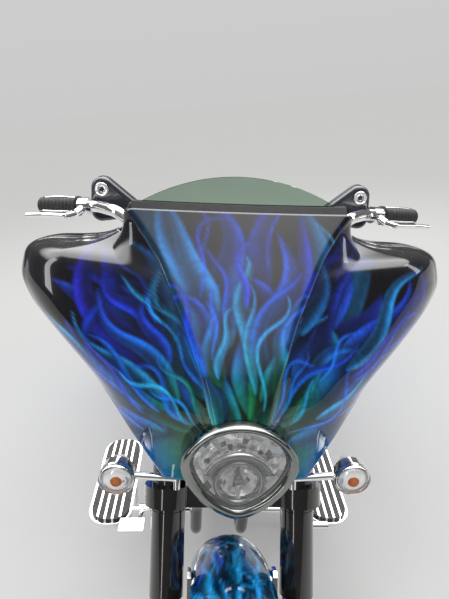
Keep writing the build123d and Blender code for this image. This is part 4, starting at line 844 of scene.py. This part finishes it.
def build_headlamp():
    build_lamp_bezel()
    rng = np.random.default_rng(3)
    outline = rim_line(LAMP_RIM + 1.5, 9)
    centre = np.array((0, -CORE_DROP))
    rings = []
    shares = (1.0, 0.90, 0.78, 0.66, 0.55)
    for i, share in enumerate(shares):
        line = centre + (outline - centre) * share
        gap = np.linalg.norm(line - centre, axis=1)
        line = centre + (line - centre) * np.maximum(1, (CORE_R + 3) / gap)[:, None]
        wobble = rng.uniform(-FACET_DEPTH, FACET_DEPTH, len(line)) * (0 < i < len(shares) - 1)
        depth = 15 + 24 * (1 - share) ** 0.8 / 0.53 + wobble
        rings.append(np.stack([line[:, 0], depth, line[:, 1]], axis=1))
    faces = grid_faces(len(shares), len(outline), wrap=True)
    points = from_lamp(np.concatenate(rings))
    reflector = piece("lamp_reflector", points, faces, "bright", "fork", "chrome", True)
    # Painted reflection: the facets take bright, mid and darkened copies of one mirror metal at random
    paint_facet_reflections(reflector, FACET_REFLECTIONS, rng)
    thicken(reflector, 1.5)
    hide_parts("headlamp_core")

    def turned(profile, segments=56):
        points, faces = lathe((0, 0, -CORE_DROP), (0, 1, 0), profile, segments)
        return from_lamp(points), faces

    ring = ((16, CORE_R - 3), (13, CORE_R - 1), (13.5, CORE_R + 2), (18, CORE_R + 3.5), (50, CORE_R + 3.5),
            (50, CORE_R - 2), (40, CORE_R - 5), (22, CORE_R - 7), (16, CORE_R - 3))
    # Painted reflection: the ring's chrome is darkened in the same way
    piece("projector_ring", *turned(ring), "dark_chrome", "fork", "chrome")
    bowl = [(50, 0), (50, CORE_R - 5.5)] + [(48 - 26 * share ** 2, (CORE_R - 6) * share)
                                            for share in (1.0, 0.86, 0.7, 0.52, 0.34, 0.0)]
    made = piece("projector_bowl", *turned(bowl, 22), "bright", "fork", "chrome", True)
    # Painted reflection: the bowl's facets take bright, mid and darkened copies of one mirror metal at random
    paint_facet_reflections(made, FACET_REFLECTIONS, rng)
    cap = ((50, 6), (30, 6.5), (25, 8.5), (21, 8), (19.5, 4), (19, 0))
    piece("projector_bulb", *turned(cap, 28), "smoked", "fork", "chrome")
    corners = ((-3, 22), (3, 22), (3, 27), (-3, 27))
    strut = [(x, depth, z - CORE_DROP) for z in (-6, 6 - CORE_R) for x, depth in corners]
    faces = [(0, 1, 2, 3), (7, 6, 5, 4)] + [(i, 4 + i, 4 + (i + 1) % 4, (i + 1) % 4) for i in range(4)]
    piece("projector_strut", from_lamp(strut), faces, "steel", "fork", "chrome", True)

    def arch(name, section, material):
        band = []
        for angle in np.linspace(-1.25, 1.25, 30):
            for radius, depth in section:
                band.append((radius * sin(angle), depth, radius * 0.94 * cos(angle) - CORE_DROP))
        piece(name, from_lamp(band), tube_faces(30, len(section)), material, "fork", "chrome")
    arch("lamp_brow", ((46, 14), (59, 12), (60, 40), (46, 40)), "smoked")
    arch("brow_edge", ((59, 11), (61, 11), (61, 40), (60.2, 40)), "chrome")


# Signals

def build_signals():
    centre = from_axle((SIGNAL[0], SIGNAL[1] - 0.6, SIGNAL[2]))
    ahead = (0, -1, 0)
    dish = ((0, 26.5), (0.6, 27), (0.5, 14), (1.6, 12), (1.6, 0))
    turned_pair("signal_dishes", centre, ahead, dish, 32, "bright", "chrome")
    bulb = [(1.5 + 8 * sin(a), 9.5 * cos(a)) for a in np.linspace(0, pi / 2, 7)]
    turned_pair("signal_bulbs", centre, ahead, bulb, 24, "amber", "glass")
    rim = [(4.5 * cos(a) - 1, SIGNAL_R + 1.0 + 1.5 * sin(a)) for a in np.linspace(0, 2 * pi, 9)]
    turned_pair("signal_rims", centre, ahead, rim, 40, "chrome", "chrome")


# Controls

def build_controls():
    start, end = from_axle(BAR_BEND), from_axle(BAR_END)
    along = (end - start) / np.linalg.norm(end - start)
    near = end - along * (GRIP_LENGTH - 1)
    long = GRIP_LENGTH - 2
    profile = [(0, BAR_R + 0.4), (0, 20), (2, 22), (5, 22), (7, 18)]
    for i in range(9):
        mid = 12 + i * 10.4
        profile += [(mid, 17.2), (mid + 2.6, 19.4), (mid + 5.2, 19.6), (mid + 7.8, 17.4)]
    profile += [(long - 3, 18.5), (long - 1, 16), (long, 0)]
    grips = turned_pair("rider_grips", near, along, profile, 30, "rubber", "rubber")
    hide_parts("grips")
    side, other = frame_of(along)[1:]
    strips = []
    for i in range(3):
        angle = 2 * pi * i / 3 + 0.5
        out = side * cos(angle) + other * sin(angle)
        line = [near + along * (10 + s * (long - 18)) + out * (17.5 + 2.2 * sin(pi * s))
                for s in np.linspace(0, 1, 12)]
        strips.append(tube(line, 2.4, 8))
    piece("grip_strips", *both_sides(*join(strips)), "chrome", "fork", "chrome")

    disc = from_axle((MIRROR[0], MIRROR[1] - 18, MIRROR[2]))
    rim = ((-1, 15), (1.5, 15.5), (2.6, 13), (1.6, 9), (1.4, 5.2), (0, 5))
    turned_pair("mirror_rings", disc, (0, -1, 0), rim, 36, "chrome", "chrome")
    eye = ((0, 5.4), (1.0, 4.5), (1.2, 0))
    turned_pair("mirror_eyes", disc, (0, -1, 0), eye, 28, "dial", "black_plastic")
    # The glass is bounded by three arcs: centre, radius, first and last angle
    hull = []
    arcs = (((0, 0), 23, 25, 130), ((-60, -44), 19, 130, 262), ((6, -52), 21, 262, 385))
    for (x, z), radius, low, high in arcs:
        for angle in np.linspace(low, high, 12):
            hull.append((x + radius * cos(radians(angle)), z + radius * sin(radians(angle))))
    hull = np.array(hull)
    back = from_axle((MIRROR[0], MIRROR[1] + 15.2, MIRROR[2]))
    face = [back + (x, 0, z) for x, z in hull] + [back + (x * 0.97, 0.8, z * 0.97) for x, z in hull]
    faces = [tuple(quad) for quad in grid_faces(2, len(hull), wrap=True)]
    faces += [tuple(range(len(hull), 2 * len(hull)))]
    piece("mirror_glass", *both_sides(np.array(face), faces), "mirror", "fork", "chrome")


# Dash: a panel across the fairing's back, round gauges with plain marks

def build_dash_panel():
    """Panel from rolled edge to rolled edge, open round the handlebar and its risers."""
    shape = fairing_points()
    first = int(np.argmin(np.abs(shape[:, 0, 2] - DASH_LOW)))
    rows = shape[first::3]
    share = np.linspace(-1, 1, 121)
    inset = 1 - FAIRING_WALL / np.abs(rows[:, -1, 0])[:, None]
    x = share[None] * rows[:, -1, 0][:, None] * inset
    back = np.broadcast_to(rows[:, -1, 1][:, None], x.shape)
    crown = rows[:, rows.shape[1] // 2, 2][:, None]
    up = rows[:, -1, 2][:, None] + (crown - rows[:, -1, 2][:, None]) * smooth_step(-np.abs(x), -250, -215)
    points = from_axle(np.stack([x, back, up], axis=-1).reshape(-1, 3))
    faces = grid_faces(*x.shape)
    bar = from_axle((BAR_RISE, BAR_ELBOW, BAR_BEND))
    line = np.concatenate([straight(bar[0], bar[1], 40), straight(bar[1], bar[2], 20)])
    line = np.concatenate([line, line * (-1, 1, 1)])
    centre = np.array(in_fork(0, 42, 800))
    line = np.concatenate([line, straight(bar[0], centre, 30), straight(bar[0] * (-1, 1, 1), centre, 30)])
    gap = np.linalg.norm(points[:, None, :] - line[None], axis=2).min(1)
    risers = [straight(in_fork(side * 45, 42, 650), in_fork(side * 45, 42, 800), 30) for side in (1, -1)]
    near = np.linalg.norm(points[:, None, :] - np.concatenate(risers)[None], axis=2).min(1)
    keep = (gap > BAR_R + 8) & (near > 24)
    faces = faces[keep[faces].all(axis=1)]
    made = piece("dash_board", points, faces, "black_plastic", "fork", "black_plastic")
    thicken(made, -DASH_THICK)
    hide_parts("dash_panel")


def build_dash():
    """Round gauges that face the rider, each with plain marks and a hand."""
    rows = np.array(FAIRING_ROWS, float)
    made, dials, marks = [], [], []
    face = np.array((0, 0.86, 0.51))
    top = np.array((0, -0.51, 0.86))
    for x, up, radius in GAUGES:
        row = [np.interp(up, rows[:, 0], rows[:, i]) for i in (9, 10)]
        back = row[0] + 1.7 * row[1] + 0.5
        centre = from_axle((x, back, up))
        bezel = ((-14, radius + 2), (4, radius + 4), (8, radius + 2), (7, radius - 3), (1, radius - 4),
                 (-14, radius - 4))
        made.append(lathe(centre, face, bezel, 44))
        dials.append(lathe(centre, face, ((-14, radius - 3.8), (-2, radius - 3.8), (-2, 0)), 44))
        for i in range(11):
            angle = radians(-50 + 28 * i)
            out = -np.array((cos(angle), 0, 0)) + top * sin(angle)
            line = [centre + face * -1.6 + out * radius * share for share in (0.68, 0.86)]
            marks.append(tube(line, 1.0, 6))
        hand = -np.array((cos(0.9), 0, 0)) + top * sin(0.9)
        hub = centre + face * -0.6
        marks.append(tube([hub - hand * 6, hub + hand * radius * 0.7], 1.2, 6))
    piece("gauge_bezels", *join(made), "chrome", "fork", "chrome")
    piece("gauge_dials", *join(dials), "dial", "fork", "black_plastic")
    piece("gauge_marks", *join(marks), "mark", "fork", "aluminium")


# Front fender

def build_front_fender():
    half, radius, drop, skirt = FENDER_HALF, FENDER_R, FENDER_DROP, FENDER_SKIRT
    crown = arc((-half, radius - drop), (0, radius), (half, radius - drop), 45)
    left = straight((-half, radius - drop - skirt), (-half, radius - drop), 8)[:-1]
    line = np.concatenate([left, crown, (left * (-1, 1))[::-1]])
    angles = np.radians(np.linspace(FENDER_START, FENDER_END, 110))
    points = [(x, r * sin(a), r * cos(a)) for a in angles for x, r in line]
    points = from_axle(points)
    faces = grid_faces(len(angles), len(line))
    made = piece("front_mudguard", points, faces, "artwork", "fork", "flame_paint")
    steps = np.linalg.norm(np.diff(line, axis=0), axis=1)
    across = np.concatenate([[0], np.cumsum(steps)]) - steps.sum() / 2
    plane = np.stack([np.tile(across, len(angles)), np.repeat(angles * radius, len(line))], axis=1)
    start = radians(FENDER_START) * radius
    level = np.clip((plane[:, 1] - start - 120) / 620, 0, 1) * 0.35 + 0.12

    def rows_of_roots(share):
        return ((share - 0.5) * 230, start - 30 + 480 * ((share * 7.3) % 1)), 0.35 * (share - 0.5)
    ground = 0.4 * (1 - smooth_step(plane[:, 1] - start, 480, 720))
    paint(made, draw_flames(plane, level, ground, rows_of_roots, 21, 0.75, 0.8) * 1.5)
    thicken(made, FENDER_THICK)
    # Each stay is a web on the fender and a foot that reaches to the fork's leg
    top = radius - drop - skirt + 36
    web = ((-17, 205), (17, 205), (17, top - 8), (9, top), (-9, top), (-17, top - 8))
    foot = ((-17, 205), (17, 205), (17, 235), (-17, 235))
    stays = []
    for side in (1, -1):
        for inner, outer, outline in ((half - 1, half + 6, web), (half, STAY_OUT, foot)):
            corners = [in_fork(side * x, y, s) for x in (inner, outer) for y, s in outline]
            stays.append((corners, prism_faces(len(outline))))
    piece("mudguard_stays", *join(stays), "chrome", "fork", "chrome", True)
    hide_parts("front_fender")


# Tyres with a moulded tread

def build_tyre(name, node, axle, body, sizes):
    radius, width, crown, rim, bead = sizes
    edge_x = width / 2 * 0.86
    edge_r = radius - crown + sqrt(crown ** 2 - edge_x ** 2)
    side_r = (edge_r + rim) / 2 + 4
    toe = rim + 13
    top = arc((edge_x, edge_r), (0, radius), (-edge_x, edge_r), 41)
    side = arc((bead, toe), (width / 2, side_r), (edge_x, edge_r), 12)
    other = (side * (-1, 1))[::-1]
    inner = arc((-bead + TYRE_WALL, rim + 0.3), (0, radius - TYRE_WALL), (bead - TYRE_WALL, rim + 0.3), 12)
    line = np.concatenate([[(bead, rim + 0.3)], side[:-1], top, other[1:], [(-bead, rim + 0.3)], inner])
    segments = 288
    angles = np.linspace(0, 2 * pi, segments, endpoint=False)
    tread = np.zeros(len(line))
    first = len(side)
    tread[first + 1:first + len(top) - 3] = 1
    x, r = line[:, 0], line[:, 1]
    turns = angles[:, None] * TREAD_TURNS / (2 * pi)
    swept = (turns + 0.9 * np.abs(x)[None] / edge_x + 0.5 * (x > 0)[None]) % 1
    groove = smooth_step(np.abs(swept - 0.5), 0.12, 0.06) * (np.abs(x) > RIB_SHARE * edge_x)
    middle = smooth_step(np.abs(np.abs(x) - RIB_SHARE * edge_x), 0.05 * edge_x, 0.02 * edge_x)[None]
    deep = np.clip(groove + middle, 0, 1) * tread[None] * TREAD_DEPTH
    # The groove goes in along the crown's own normal
    normal = np.stack([x, r - (radius - crown)], axis=1)
    normal /= np.linalg.norm(normal, axis=1)[:, None]
    px = x[None] - deep * normal[:, 0][None]
    pr = r[None] - deep * normal[:, 1][None]
    points = np.stack([px, pr * np.sin(angles)[:, None], pr * np.cos(angles)[:, None]], axis=-1)
    points = points.reshape(-1, 3) + axle
    made = piece(name, points, grid_faces(segments, len(line), wrap=True, close=True), "tyre", body, "tyre")
    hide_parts(node)


# Seat: the solid's form, swollen under its leather, with sewn channels and a side seam

SEAT_VOXEL = 0.007
SEAT_SWELL = 0.012
SEAT_PRESSURE = 4
SEAT_SEAMS = (250, 330, 410, 480, 590, 665, 740)


def build_seat():
    source = frame["nodes"]["seat"]
    mesh = source.data.copy()
    seat = bpy.data.objects.new("seat_cushion", mesh)
    bpy.context.scene.collection.objects.link(seat)
    seat.matrix_world = source.matrix_world.copy()
    mesh.materials.clear()
    mesh.materials.append(MATERIALS["leather"])
    bpy.context.view_layer.objects.active = seat
    shrink = seat.modifiers.new("shrink", "DISPLACE")
    shrink.strength = -0.004
    remesh = seat.modifiers.new("remesh", "REMESH")
    remesh.mode = "VOXEL"
    remesh.voxel_size = SEAT_VOXEL
    apply_modifier(seat, shrink)
    apply_modifier(seat, remesh)
    before = coordinates(mesh)
    local = (before - BIKE_PLACE) @ BIKE_TURN * 1000
    cloth = seat.modifiers.new("cloth", "CLOTH")
    settings = cloth.settings
    settings.use_pressure = True
    settings.uniform_pressure_force = SEAT_PRESSURE
    settings.effector_weights.gravity = 0
    settings.quality = 4
    settings.tension_stiffness = 25
    settings.mass = 0.3
    cloth.collision_settings.use_collision = False
    group = seat.vertex_groups.new(name="base")
    low = [int(i) for i in np.nonzero(local[:, 2] < 668)[0]]
    group.add(low, 1.0, "REPLACE")
    settings.vertex_group_mass = "base"
    scene = bpy.context.scene
    for number in range(1, 21):
        scene.frame_set(number)
    apply_modifier(seat, cloth)
    scene.frame_set(1)
    mesh = seat.data
    travel = coordinates(mesh) - before
    length = np.linalg.norm(travel, axis=1)
    travel *= np.minimum(1, SEAT_SWELL / np.maximum(length, 1e-6))[:, None]
    after = before + travel
    # Sewn channels across the rider's and the passenger's pads, and a seam round the top
    x, y, z = local.T
    upper = smooth_step(z, 672, 700)
    channel = np.zeros(len(x))
    for seam in SEAT_SEAMS:
        channel = np.maximum(channel, np.exp(-((y - seam) / 7.0) ** 2) * smooth_step(120 - np.abs(x), 0, 12))
    side = np.exp(-((np.abs(x) - 122) / 6.0) ** 2) * smooth_step(y, 190, 215) * smooth_step(795 - y, 0, 20)
    groove = np.maximum(channel * 5.0, side * 6.0) * upper
    puff = 3.5 * upper * np.abs(np.sin((y - 250) / 80 * pi)) * smooth_step(118 - np.abs(x), 0, 30)
    puff *= (y > 240) & (y < 760)
    after = after + (puff - groove)[:, None] / 1000 * BIKE_TURN[:, 2]
    mesh.vertices.foreach_set("co", after.ravel())
    mesh.polygons.foreach_set("use_smooth", [True] * len(mesh.polygons))
    smooth = seat.modifiers.new("smooth", "SMOOTH")
    smooth.factor = 0.5
    smooth.iterations = 3
    apply_modifier(seat, smooth)
    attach(seat, "frame")
    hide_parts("seat")


# Bolts and small trim

def build_trim():
    sixths = [radians(angle) for angle in range(0, 360, 60)]
    fifths = [radians(angle + 20) for angle in range(0, 360, 72)]
    front = [bolt for x in (84.0, -84.0) for bolt in bolt_circle(x, FRONT_Y, FRONT_Z, 30, sixths)]
    piece("front_disc_bolts", *bolt_heads(front, 5, 4), "chrome", "front_wheel", "chrome")
    rear = bolt_circle(-101.0, REAR_Y, REAR_Z, 34, fifths)
    piece("rear_disc_bolts", *bolt_heads(rear, 5, 4), "chrome", "rear_wheel", "chrome")
    cover = bolt_circle(184.0, -20, 335, 92, np.linspace(1.9, 4.4, 6))
    piece("primary_bolts", *bolt_heads(cover, 5.5, 5), "chrome", "frame", "chrome")


# Stage, lights and camera

def build_stage():
    size = 80.0
    mesh = bpy.data.meshes.new("floor")
    corners = [(-size, -size, 0), (size, -size, 0), (size, size, 0), (-size, size, 0)]
    mesh.from_pydata(corners, [], [(0, 1, 2, 3)])
    floor = bpy.data.objects.new("floor", mesh)
    bpy.context.scene.collection.objects.link(floor)
    mesh.materials.append(mottled("floor", FLOOR, tuple(c * 0.985 for c in FLOOR), (0.85, 0.9), 0.6,
                                  Specular_IOR_Level=0.0))


def build_world():
    """Even light, a pale backdrop for the camera and a darker room for reflections."""
    world = bpy.data.worlds.new("studio")
    bpy.context.scene.world = world
    world.use_nodes = True
    tree = world.node_tree
    nodes = Nodes(tree)
    light = tree.nodes["Background"]
    light.inputs["Color"].default_value = (1, 1, 1, 1)
    light.inputs["Strength"].default_value = WORLD_LIGHT
    coord = nodes.add("TexCoord")
    split = nodes.add("SeparateXYZ")
    nodes.link(coord.outputs["Generated"], split.inputs["Vector"])
    backdrop = nodes.add("Background")
    sky = nodes.ramp(split.outputs["Z"], (0.0, grey(HORIZON)), (0.3, grey(HORIZON * 1.05)), (1.0, grey(0.66)))
    nodes.link(sky, backdrop.inputs["Color"])
    room = nodes.add("Background")
    walls = nodes.ramp(split.outputs["Z"], (0.0, grey(0.10)), (0.12, grey(0.15)), (0.5, grey(0.20)),
                       (1.0, grey(0.30)))
    opening = nodes.band(split.outputs["Z"], *SKY_RISE, 0.0, SKY_LIGHT)
    side = nodes.band(split.outputs["X"], *SKY_SIDE, 0.05, 1.0)
    ahead = nodes.math("MULTIPLY", opening, side)
    behind = nodes.math("MULTIPLY", nodes.band(split.outputs["Y"], *BEHIND_REAR, 0.0, SKY_BEHIND),
                        nodes.band(split.outputs["Z"], *BEHIND_RISE))
    bright = nodes.mix(1.0, walls, nodes.math("ADD", ahead, behind), "ADD")
    nodes.link(bright, room.inputs["Color"])
    path = nodes.add("LightPath")
    mirrored = nodes.add("MixShader")
    nodes.link(path.outputs["Is Glossy Ray"], mirrored.inputs["Fac"])
    nodes.link(light.outputs[0], mirrored.inputs[1])
    nodes.link(room.outputs[0], mirrored.inputs[2])
    seen = nodes.math("MAXIMUM", path.outputs["Is Camera Ray"], path.outputs["Is Transmission Ray"])
    mix = nodes.add("MixShader")
    nodes.link(seen, mix.inputs["Fac"])
    nodes.link(mirrored.outputs[0], mix.inputs[1])
    nodes.link(backdrop.outputs[0], mix.inputs[2])
    nodes.link(mix.outputs[0], tree.nodes["World Output"].inputs["Surface"])


def add_lamp(name, place, target, size, power, seen=True):
    data = bpy.data.lights.new(name, "AREA")
    data.shape = "RECTANGLE"
    data.size, data.size_y = size
    data.energy = power
    lamp = bpy.data.objects.new(name, data)
    bpy.context.scene.collection.objects.link(lamp)
    lamp.location = place
    lamp.rotation_euler = (Vector(target) - Vector(place)).to_track_quat("-Z", "Y").to_euler()
    lamp.visible_glossy = seen


def build_lamps():
    middle = (0, -0.4, 0.7)
    add_lamp("overhead", (0.1, -1.9, 4.3), middle, (3.0, 2.6), 34, False)
    add_lamp("left", (3.6, -0.4, 2.4), middle, (0.5, 2.2), 14)
    add_lamp("right", (-3.6, -0.8, 2.6), middle, (0.5, 2.2), 16)
    add_lamp("rear", (0.4, 3.8, 3.4), middle, (3.0, 1.4), 30)
    add_lamp("strip", (-1.5, -3.6, 1.7), (0, -0.7, 0.5), (0.22, 2.4), 9)


def build_camera():
    yaw, pitch, roll = radians(CAMERA_YAW), radians(CAMERA_PITCH), radians(CAMERA_ROLL)
    level = Vector((cos(yaw), -sin(yaw), 0))
    ahead = Vector((sin(yaw), cos(yaw), 0))
    up = Vector((0, 0, 1))
    view = ahead * cos(pitch) - up * sin(pitch)
    tall = ahead * sin(pitch) + up * cos(pitch)
    right = level * cos(roll) + tall * sin(roll)
    tall = tall * cos(roll) - level * sin(roll)
    turn = Matrix((right, tall, -view)).transposed().to_4x4()
    data = bpy.data.cameras.new("camera")
    data.sensor_width = 36.0
    data.lens = data.sensor_width * FOCAL / PICTURE[1]
    data.clip_end = 300
    camera = bpy.data.objects.new("camera", data)
    bpy.context.scene.collection.objects.link(camera)
    camera.matrix_world = BIKE @ Matrix.Translation(CAMERA) @ turn
    bpy.context.scene.camera = camera


dress_frame()
build_fairing()
build_headlamp()
build_signals()
build_controls()
build_dash_panel()
build_dash()
build_front_fender()
build_tyre("front_tread", "front_tyre", (0, FRONT_Y, FRONT_Z), "front_wheel", FRONT_TYRE)
build_tyre("rear_tread", "rear_tyre", (0, REAR_Y, REAR_Z), "rear_wheel", REAR_TYRE)
build_seat()
build_trim()
build_stage()
build_world()
build_lamps()
build_camera()
bpy.context.scene.view_settings.view_transform = "Standard"
